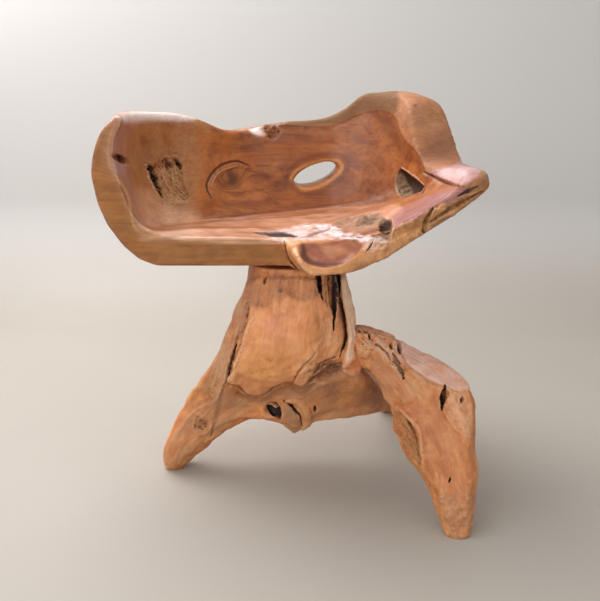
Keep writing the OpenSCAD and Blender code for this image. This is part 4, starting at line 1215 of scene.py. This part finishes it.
rootUneven = [(0.0030, 0.040), (0.0012, 0.014), (0.0004, 0.005)]
stumpSettings = {
    "grid": 0.0031, "refine": (1, 2), "uneven": rootUneven,
    "sawn": [(2, 0.0, 0.014), (2, 0.400, 0.008)],
}
stumpFeatures = [
    # painted shade under the plate
    area("under the plate", 12, [(214, 392), (250, 394), (300, 386), (318, 376), (345, 362), (380, 384),
         (396, 410), (340, 424), (300, 444), (280, 420), (262, 405), (240, 416), (210, 436)],
         (182, 134, 98), 0.7, mottle=0.6),
    spot("under shade", (352, 394), (70, 34), (120, 76, 50), 0.55, turn=-6, mottle=0.6),
    area("left root", 10, [(224, 352), (232, 366), (228, 390), (216, 410), (206, 440), (186, 462),
         (168, 466), (166, 452), (180, 420), (200, 388)], (184, 134, 96), 0.6, mottle=0.8),
    # pale fibrous strip with painted light on it, as it faces up and to the left
    area("left strip", 6, [(238, 290), (246, 274), (251, 276), (250, 300), (243, 326), (236, 348),
         (228, 372), (222, 392), (210, 396), (212, 370), (222, 336)], (206, 156, 116), 0.75, fine=1,
         rough=1.2, roughSize=12, fibres=2.1, fibreTurn=70, fibreSize=7, mottle=0.9),
    line("strip groove", [(250, 280), (248, 300), (242, 322), (236, 344)], [6, 16, 16, 8], (150, 110, 80),
         0.4, fine=1, core=0.1, deep=1.5, ragged=1.5),
    area("bark plate", 8, [(251, 280), (316, 280), (322, 300), (331, 310), (333, 332), (339, 346),
         (332, 356), (319, 362), (315, 371), (303, 385), (287, 381), (273, 387), (264, 393), (250, 393),
         (240, 386), (228, 381), (232, 371), (240, 347), (247, 325), (251, 303)], (236, 162, 110), 0.75,
         deep=-4, ragged=3, raggedSize=20, mottle=0.6),
    area("plate waves", 20, [(256, 292), (312, 290), (326, 320), (330, 346), (310, 366), (284, 378),
         (254, 386), (238, 378), (246, 346), (254, 320)], rough=4.5, roughSize=35),
    # painted shadow along the plate's lower lip
    line("plate edge", [(251, 290), (247, 322), (240, 347), (231, 371), (226, 382), (240, 388),
         (250, 395), (265, 395), (275, 389), (287, 384), (303, 387), (317, 373), (322, 363), (335, 357)],
         [4, 6, 8, 10, 8, 7, 7, 7, 6, 6, 8, 10, 8, 5], (128, 82, 52), 0.5, fine=1, core=0.1, deep=3,
         ragged=1.5),
    # painted shadow below the plate
    line("below the plate", [(238, 394), (250, 400), (265, 400), (276, 394), (288, 389), (302, 392),
         (316, 384)], [10, 20, 22, 20, 20, 20, 10], (138, 90, 60), 0.5, fine=1, core=0.1, deep=3.5),
    # painted shade in the crack
    line("left crack", [(236, 344), (233, 356), (229, 370), (225, 384)], [3, 8, 8, 4], (50, 32, 22), 0.95,
         fine=2, core=0.2, deep=6, ragged=1.5, behind=30),
    line("plate ridge", [(254, 318), (247, 334), (241, 350), (237, 366)], [4, 9, 9, 4], (236, 184, 134),
         0.5, fine=1, deep=-2, ragged=3),
    spot("plate glow", (262, 366), (55, 36), (240, 168, 96), 0.75, turn=20, mottle=0.5),
    spot("plate blush", (284, 326), (55, 32), (240, 160, 120), 0.65, turn=0, mottle=0.6),
    area("plate top", 12, [(250, 276), (316, 278), (320, 292), (306, 302), (284, 298), (266, 308),
         (252, 304)], (162, 102, 70), 0.75, fine=1, rough=1.2, roughSize=18, fibres=1.8, fibreTurn=86,
         fibreSize=9, mottle=0.5, mottleSize=30),
    area("plate right bark", 10, [(322, 316), (334, 322), (340, 344), (332, 356), (318, 362), (312, 376),
         (300, 382), (304, 364), (314, 346), (318, 330)], (226, 170, 126), 0.6, fine=1, rough=1.4,
         roughSize=12, fibres=2, fibreTurn=80, fibreSize=11, mottle=1, mottleSize=20),
    line("plate fold", [(292, 384), (298, 372), (306, 362), (314, 352)], [2, 7, 7, 2], (160, 104, 68),
         0.5, fine=1, core=0.1, deep=2.5, ragged=1),
    # painted shade in the left cleft
    line("cleft left", [(318, 276), (319, 288), (322, 299)], [11, 11, 4], (32, 22, 18), 0.97, fine=2,
         core=0.5, deep=4, ragged=1, behind=60),
    line("grey strip", [(326.5, 274), (327.5, 290), (326, 306)], [10, 10, 5], (176, 142, 108), 0.85,
         fine=1, deep=2, fibres=1, fibreTurn=88, matte=0.8, mottle=0.6),
    # painted shade in the middle cleft
    line("cleft middle", [(335, 272), (335, 292), (333.5, 306), (333.5, 330)], [22, 19, 10, 3],
         (24, 16, 14), 0.98, fine=2, core=0.6, deep=4, ragged=1.2, behind=60),
    # painted shade in the right cleft
    line("cleft right", [(340, 300), (343, 318), (345, 334), (343, 348), (340, 357)], [9, 9, 8, 6, 2],
         (30, 21, 18), 0.97, fine=2, core=0.4, deep=4, ragged=1, behind=60),
    line("cleft strip", [(339, 300), (339, 318), (340, 334)], [4, 6, 2], (168, 132, 106), 0.8),
    # painted highlight on the rib, which faces up and left
    area("rib", 6, [(342, 276), (352, 290), (357, 330), (360, 350), (359, 372), (349, 374), (343, 364),
         (348, 345), (347, 320), (343, 300)], (252, 222, 194), 0.88, fine=1, deep=-4, rough=1.8,
         roughSize=20, mottle=0.5),
    spot("knob", (351, 365), (17, 18), (214, 122, 58), 0.85, fine=1, core=0.5, deep=-5, rough=1.2,
         roughSize=10),
    # painted shade in the recess
    spot("recess", (326, 370), (40, 20), (98, 62, 46), 0.85, fine=1, turn=14, core=0.2, deep=4, rough=2.5,
         torn=0.25, mottle=0.5),
    spot("leg knot", (202, 425), (15, 13), (130, 84, 52), 0.8, fine=2, turn=30, core=0.5, deep=3, rough=3,
         roughSize=7, torn=0.3, mottle=0.9, mottleSize=8),
    line("knot ring", [(193, 424), (197, 416), (206, 415), (211, 423), (207, 433), (198, 434),
         (193, 426)], [7] * 7, (198, 140, 92), 0.35, fine=1, deep=-1.2, ragged=3),
    line("leg crease", [(224, 386), (220, 402), (216, 420), (211, 436)], [8, 16, 14, 6], (140, 94, 62),
         0.35, fine=1, core=0.1, deep=2, ragged=1),
    # painted shade in the hole under the stump
    area("under hole", 3, [(267, 405), (273, 402), (279, 405), (281, 412), (280, 421), (275, 417),
         (270, 413)], (38, 25, 18), 0.97, fine=2, deep=10, ragged=1, behind=30),
    line("tooth", [(286, 401), (298, 402), (307, 412), (306, 426), (298, 440)], [6, 14, 18, 18, 10],
         (216, 150, 98), 0.75, fine=1, core=0.3, deep=-5),
    area("tooth heart", 4, [(286, 408), (294, 408), (300, 418), (300, 430), (294, 436), (286, 424)],
         (158, 118, 88), 0.7, mottle=0.5),
    # painted shade in the slit beside the tooth
    line("tooth line", [(284, 401), (289, 403), (295, 410), (300, 416), (302, 426)], [4, 9, 6, 4, 2],
         (62, 38, 26), 0.9, fine=2, core=0.2, deep=4, behind=12),
    # painted shade in the small hole
    spot("small hole", (315, 410), (4, 8), (56, 34, 24), 0.9, fine=2, core=0.3, deep=6, behind=15),
    # painted shade in the top hole
    spot("top hole", (265.5, 281), (3.5, 9), (62, 38, 26), 0.9, fine=2, core=0.3, deep=5, behind=15),
    spot("top ring", (281.5, 290.5), (6, 6), (110, 70, 56), 0.75, fine=2, core=0.3, deep=1),
    spot("right shade", (374, 396), (30, 34), (118, 74, 46), 0.55),
    # painted shade in the back cleft
    path("back cleft", [(0.03, 0.075, 0.398), (0.034, 0.082, 0.33), (0.022, 0.09, 0.262),
         (0.028, 0.092, 0.214)], [14, 18, 12, 4], (40, 27, 20), 0.95, fine=1, core=0.2, deep=12,
         ragged=3),
    # painted shade in the back crack
    path("back crack", [(-0.052, 0.055, 0.36), (-0.06, 0.062, 0.29), (-0.082, 0.06, 0.22),
         (-0.12, 0.03, 0.15)], [4, 12, 12, 3], (74, 48, 34), 0.85, fine=1, core=0.2, deep=6, ragged=3),
]
stump, stumpSkin = carveWood("root_stump", "rootStump", stumpSettings, stumpFeatures)
finishWood(stump, stumpSkin, rootGrain(stumpSkin, rootSpines["stump"]), "base", "root_stump",
           rootWood)


# Right leg

rightLegSettings = {
    "grid": 0.0028, "refine": (1, 2), "uneven": rootUneven, "sawn": [(2, 0.0, 0.014)],
}
rightLegFeatures = [
    area("leg blush", 12, [(372, 360), (392, 372), (420, 384), (442, 404), (456, 432), (472, 462),
         (474, 500), (452, 506), (436, 486), (424, 462), (420, 430), (396, 404), (374, 384)],
         (196, 122, 72), 0.6, mottle=0.5),
    area("shaft front", 10, [(424, 424), (444, 416), (456, 430), (468, 446), (470, 500), (452, 510),
         (436, 490), (425, 462)], flat=0.45, level=0.5),
    area("shoulder front", 6, [(370, 350), (384, 352), (398, 364), (404, 378), (414, 396), (404, 404),
         (390, 400), (375, 386), (371, 368)], (212, 156, 116), 0.6, fine=1, flat=0.6, level=0.45,
         fibres=1.4, fibreTurn=-50, fibreSize=7, matte=0.4, mottle=0.7),
    area("tan facet", 8, [(404, 372), (414, 372), (426, 384), (430, 398), (428, 406), (418, 400),
         (408, 388)], (222, 164, 114), 0.7, fine=1, deep=1, flat=0.6, fibres=1, fibreTurn=-52,
         fibreSize=6, matte=0.4, mottle=0.6),
    # painted sheen on the top facet, which faces up
    area("top facet", 10, [(400, 342), (412, 340), (430, 350), (452, 364), (468, 380), (470, 389),
         (458, 391), (442, 386), (429, 383), (417, 377), (407, 364), (401, 353)], (236, 198, 184), 0.9,
         fine=1, flat=0.75, level=0.45, mottle=0.35),
    # painted shadow under the facet's overhanging edge
    line("facet edge", [(401, 353), (408, 366), (418, 377), (430, 384), (444, 387), (460, 392)],
         [2, 6, 7, 7, 6, 2], (146, 96, 70), 0.35, fine=1, core=0.1, deep=1.5),
    area("facet folds", 6, [(402, 344), (420, 348), (440, 362), (440, 380), (424, 378), (408, 362)],
         fine=1, fibres=1.2, fibreTurn=-32, fibreSize=6),
    area("top bark", 6, [(356, 326), (372, 328), (392, 333), (402, 342), (404, 358), (402, 374),
         (392, 366), (378, 352), (362, 344)], (222, 178, 148), 0.7, fine=1, rough=3.6, roughSize=11,
         fibres=3, fibreTurn=-40, fibreSize=7, matte=0.6, mottle=1, mottleSize=16),
    spot("shoulder knob", (364, 350), (16, 18), (214, 158, 112), 0.7, fine=1, core=0.4, deep=-3,
         rough=2.5, roughSize=8, mottle=0.8, mottleSize=10),
    line("ridge edge", [(372, 386), (392, 403), (410, 419), (420, 432), (422, 452), (425, 472)],
         [6, 10, 12, 12, 10, 4], (222, 156, 108), 0.6, fine=1, core=0.1, deep=-3, ragged=1.5),
    area("inner face", 5, [(393, 411), (404, 417), (414, 430), (418, 446), (419, 466), (428, 482),
         (430, 494), (418, 484), (404, 462), (396, 440)], (172, 122, 78), 0.75, fine=1, deep=4, rough=3,
         roughSize=12, fibres=3.5, fibreTurn=-60, fibreSize=7, matte=0.6, mottle=1, mottleSize=12),
    # painted shade in the groove
    line("inner groove", [(400, 412), (409, 424), (415, 438), (417, 452), (421, 472)], [3, 8, 9, 8, 3],
         (112, 72, 42), 0.75, fine=2, core=0.1, deep=4, ragged=2),
    area("blond patch", 12, [(449, 391), (466, 393), (472, 402), (474, 418), (470, 436), (458, 430),
         (448, 414)], (228, 172, 134), 0.8, fine=1, deep=1, flat=0.5, rough=1.4, roughSize=10, matte=0.3,
         mottle=0.7, mottleSize=12),
    line("patch foot", [(444, 411), (452, 424), (460, 432), (472, 438)], [4, 10, 10, 5], (208, 134, 84),
         0.35, fine=1, core=0.1, deep=-1.5),
    line("patch right edge", [(470, 392), (475, 410), (473, 430), (474, 470)], [6, 10, 10, 6],
         (172, 106, 66), 0.6),
    # painted shade in the notches
    spot("notch", (359.5, 331), (5, 3.5), (60, 40, 32), 0.9, fine=2, turn=-20, core=0.3, deep=6, torn=0.4,
         behind=15),
    spot("second notch", (365.5, 331.5), (6, 4.5), (52, 34, 28), 0.9, fine=2, turn=-20, core=0.3, deep=7,
         torn=0.4, behind=15),
    spot("third notch", (369.5, 336), (3.5, 7), (86, 60, 44), 0.85, fine=2, turn=10, core=0.3, deep=6,
         torn=0.4, behind=15),
    # painted shade in the holes
    spot("hole one", (391, 346.5), (3.5, 8), (52, 34, 26), 0.92, fine=2, turn=10, core=0.3, deep=8,
         behind=20),
    spot("hole two", (399.5, 348), (5, 12), (50, 32, 28), 0.92, fine=2, turn=10, core=0.4, deep=10,
         behind=30),
    # painted shade in the crack
    line("top crack", [(393, 354), (397, 362), (401, 370), (404, 378)], [4, 10, 8, 3], (98, 66, 46), 0.75,
         fine=2, core=0.2, deep=6, ragged=2),
    line("bark wrinkle", [(372, 340), (384, 350), (394, 362)], [2, 6, 2], (132, 90, 62), 0.7, fine=1,
         core=0.1, deep=4, ragged=2),
    # painted shade in the big hole
    line("big hole", [(445, 385), (443, 397), (442, 410)], [4, 13, 4], (58, 34, 28), 0.95, fine=2,
         core=0.35, deep=10, ragged=1, behind=30),
    # painted shade in the edge hole
    spot("edge hole", (463.5, 399), (4, 7), (56, 34, 26), 0.9, fine=2, core=0.3, deep=7, behind=15),
    # painted shade in the foot hole
    spot("foot hole", (449.5, 480), (2.5, 6), (60, 38, 28), 0.9, fine=2, turn=-20, core=0.3, deep=5,
         behind=15),
    area("foot bark", 10, [(428, 490), (450, 494), (474, 492), (475, 528), (456, 540), (446, 528),
         (434, 508)], (184, 128, 90), 0.75, fine=1, rough=2, roughSize=12, mottle=1, mottleSize=20),
    # painted shade in the crack
    path("outer crack", [(0.15, -0.03, 0.252), (0.2, -0.058, 0.222), (0.248, -0.098, 0.17),
         (0.284, -0.15, 0.11)], [3, 10, 10, 3], (92, 60, 42), 0.8, fine=1, core=0.2, deep=6, ragged=3),
]
rightLeg, rightLegSkin = carveWood("right_root_leg", "rightLeg", rightLegSettings, rightLegFeatures)
finishWood(rightLeg, rightLegSkin, rootGrain(rightLegSkin, rootSpines["rightLeg"]), "base",
           "right_root_leg", rootWood)


# Back leg

backLegSettings = {
    "grid": 0.003, "refine": (1,), "uneven": rootUneven, "sawn": [(2, 0.0, 0.014)],
}
backLegFeatures = [
    # painted shade in the crack
    path("back leg crack", [(0.095, 0.02, 0.25), (0.14, 0.08, 0.232), (0.18, 0.14, 0.19),
         (0.205, 0.19, 0.14)], [3, 11, 10, 2], (74, 48, 34), 0.85, fine=1, core=0.2, deep=6, ragged=3),
    path("back leg bark", [(0.08, 0.06, 0.19), (0.13, 0.14, 0.17), (0.165, 0.2, 0.11)], [20, 44, 16],
         (206, 156, 116), 0.7, core=0.2, rough=4, roughSize=12, ragged=6, matte=0.5, mottle=0.9,
         mottleSize=14),
    path("back leg knot", [(0.246, 0.17, 0.14), (0.248, 0.172, 0.136)], [18, 18], (110, 72, 46), 0.85,
         fine=1, core=0.2, deep=4, ragged=3),
    path("back leg blush", [(0.18, 0.06, 0.2), (0.225, 0.15, 0.15), (0.24, 0.21, 0.08)], [30, 50, 30],
         (214, 136, 84), 0.5, core=0.1, mottle=0.8),
    path("back leg foot", [(0.212, 0.245, 0.045), (0.214, 0.262, 0.006)], [40, 80], (200, 150, 112), 0.6,
         core=0.3, rough=1.5, mottle=1, mottleSize=16),
]
backLeg, backLegSkin = carveWood("back_root_leg", "backLeg", backLegSettings, backLegFeatures)
finishWood(backLeg, backLegSkin, rootGrain(backLegSkin, rootSpines["backLeg"]), "base",
           "back_root_leg", rootWood)


# Floor and backdrop: one pale sheet that curves up behind the chair

stageSettings = {
    "width": 14.0, "front": -8.0, "wallPlace": 1.25, "wallHeight": 3.2, "bend": 0.35, "steps": 24,
    "near": 0.01,  # how close to a line a point counts as on it
    "floorColour": paint(176, 170, 161), "wallColour": paint(206, 205, 203),
}


def makeStage(s):
    bpy.ops.object.select_all(action="DESELECT")
    bpy.ops.mesh.primitive_plane_add(size=1, location=(0, 0, 0))
    sheet = bpy.context.object
    sheet.name = "studioSheet"
    bpy.ops.object.mode_set(mode="EDIT")
    bpy.ops.mesh.select_mode(type="EDGE")
    bpy.ops.mesh.select_all(action="SELECT")
    bpy.ops.transform.resize(value=(s["width"], s["wallPlace"] - s["front"], 1))
    bpy.ops.transform.translate(value=(0, (s["wallPlace"] + s["front"]) / 2, 0))
    bpy.ops.mesh.select_all(action="DESELECT")
    mesh = bmesh.from_edit_mesh(sheet.data)
    for edge in mesh.edges:
        if all(v.co.y > s["wallPlace"] - s["near"] for v in edge.verts):
            edge.select_set(True)
    bmesh.update_edit_mesh(sheet.data)
    bpy.ops.mesh.extrude_region_move(TRANSFORM_OT_translate={"value": (0, 0, s["wallHeight"])})
    bpy.ops.mesh.select_all(action="DESELECT")
    mesh = bmesh.from_edit_mesh(sheet.data)
    for edge in mesh.edges:
        if all(v.co.y > s["wallPlace"] - s["near"] and v.co.z < s["near"] for v in edge.verts):
            edge.select_set(True)
    bmesh.update_edit_mesh(sheet.data)
    bpy.ops.mesh.bevel(offset=s["bend"], segments=s["steps"])
    bpy.ops.mesh.select_mode(type="FACE")
    bpy.ops.mesh.select_all(action="DESELECT")
    mesh = bmesh.from_edit_mesh(sheet.data)
    for face in mesh.faces:  # those that face away from the chair are turned over
        face.select_set(face.normal.z - face.normal.y < 0)
    bmesh.update_edit_mesh(sheet.data)
    bpy.ops.mesh.flip_normals()
    bpy.ops.object.mode_set(mode="OBJECT")
    bpy.ops.object.shade_smooth()
    return sheet


def makeStageMaterial(s):
    material, tree, shader = newMaterial("studio paint")
    place = tree.nodes.new("ShaderNodeTexCoord").outputs["Object"]
    parts = tree.nodes.new("ShaderNodeSeparateXYZ")
    tree.links.new(place, parts.inputs["Vector"])
    cloud = addNoise(tree, place, 1.6, 4, 0.6)
    floor = addMix(tree, "MULTIPLY", addRange(tree, cloud, 0.3, 0.7, 0.0, 0.10), s["floorColour"],
                   (0.6, 0.6, 0.6))
    rise = addRange(tree, parts.outputs["Z"], 0.0, s["bend"])
    colour = addMix(tree, "MIX", rise, floor, s["wallColour"])
    tree.links.new(colour, shader.inputs["Base Color"])
    shader.inputs["Roughness"].default_value = 0.6
    through = tree.nodes.new("ShaderNodeBsdfTransparent")
    facing = tree.nodes.new("ShaderNodeNewGeometry").outputs["Backfacing"]
    mixed = tree.nodes.new("ShaderNodeMixShader")
    tree.links.new(facing, mixed.inputs[0])
    tree.links.new(shader.outputs["BSDF"], mixed.inputs[1])
    tree.links.new(through.outputs["BSDF"], mixed.inputs[2])
    tree.links.new(mixed.outputs["Shader"], tree.nodes["Material Output"].inputs["Surface"])
    return material


sheet = makeStage(stageSettings)
sheet.data.materials.append(makeStageMaterial(stageSettings))


# Light: soft from behind on the left and above, with a weak fill from the front

lampSettings = {
    "key": {"place": (-0.9, 0.6, 2.2), "aim": (0, 0, 0.45), "size": 1.9, "power": 46,
            "tint": (1.0, 0.975, 0.97)},
    "window": {"place": (-0.7, 1.12, 1.35), "aim": (0, 0, 0.45), "size": 1.5, "power": 15,
               "tint": (1.0, 0.96, 0.97)},
    "fill": {"place": (-1.6, -2.6, 1.7), "aim": (0, 0, 0.4), "size": 2.4, "power": 36,
             "tint": (1.0, 0.99, 0.98)},
}
worldSettings = {"level": 0.62, "tint": (1.0, 0.985, 0.965)}


def makeLamp(name, s):
    data = bpy.data.lights.new(name, "AREA")
    data.shape = "DISK"
    data.size = s["size"]
    data.energy = s["power"]
    data.color = s["tint"]
    lamp = bpy.data.objects.new(name, data)
    lamp.location = s["place"]
    lamp.visible_camera = False
    lamp.rotation_euler = (Vector(s["aim"]) - Vector(s["place"])).to_track_quat("-Z", "Y").to_euler()
    bpy.context.scene.collection.objects.link(lamp)


for name, s in lampSettings.items():
    makeLamp(name, s)
world = bpy.data.worlds.new("soft room")
world.use_nodes = True
world.node_tree.nodes["Background"].inputs["Color"].default_value = (*worldSettings["tint"], 1)
world.node_tree.nodes["Background"].inputs["Strength"].default_value = worldSettings["level"]
bpy.context.scene.world = world
bpy.context.scene.view_settings.view_transform = "Standard"
print("stage and light made")
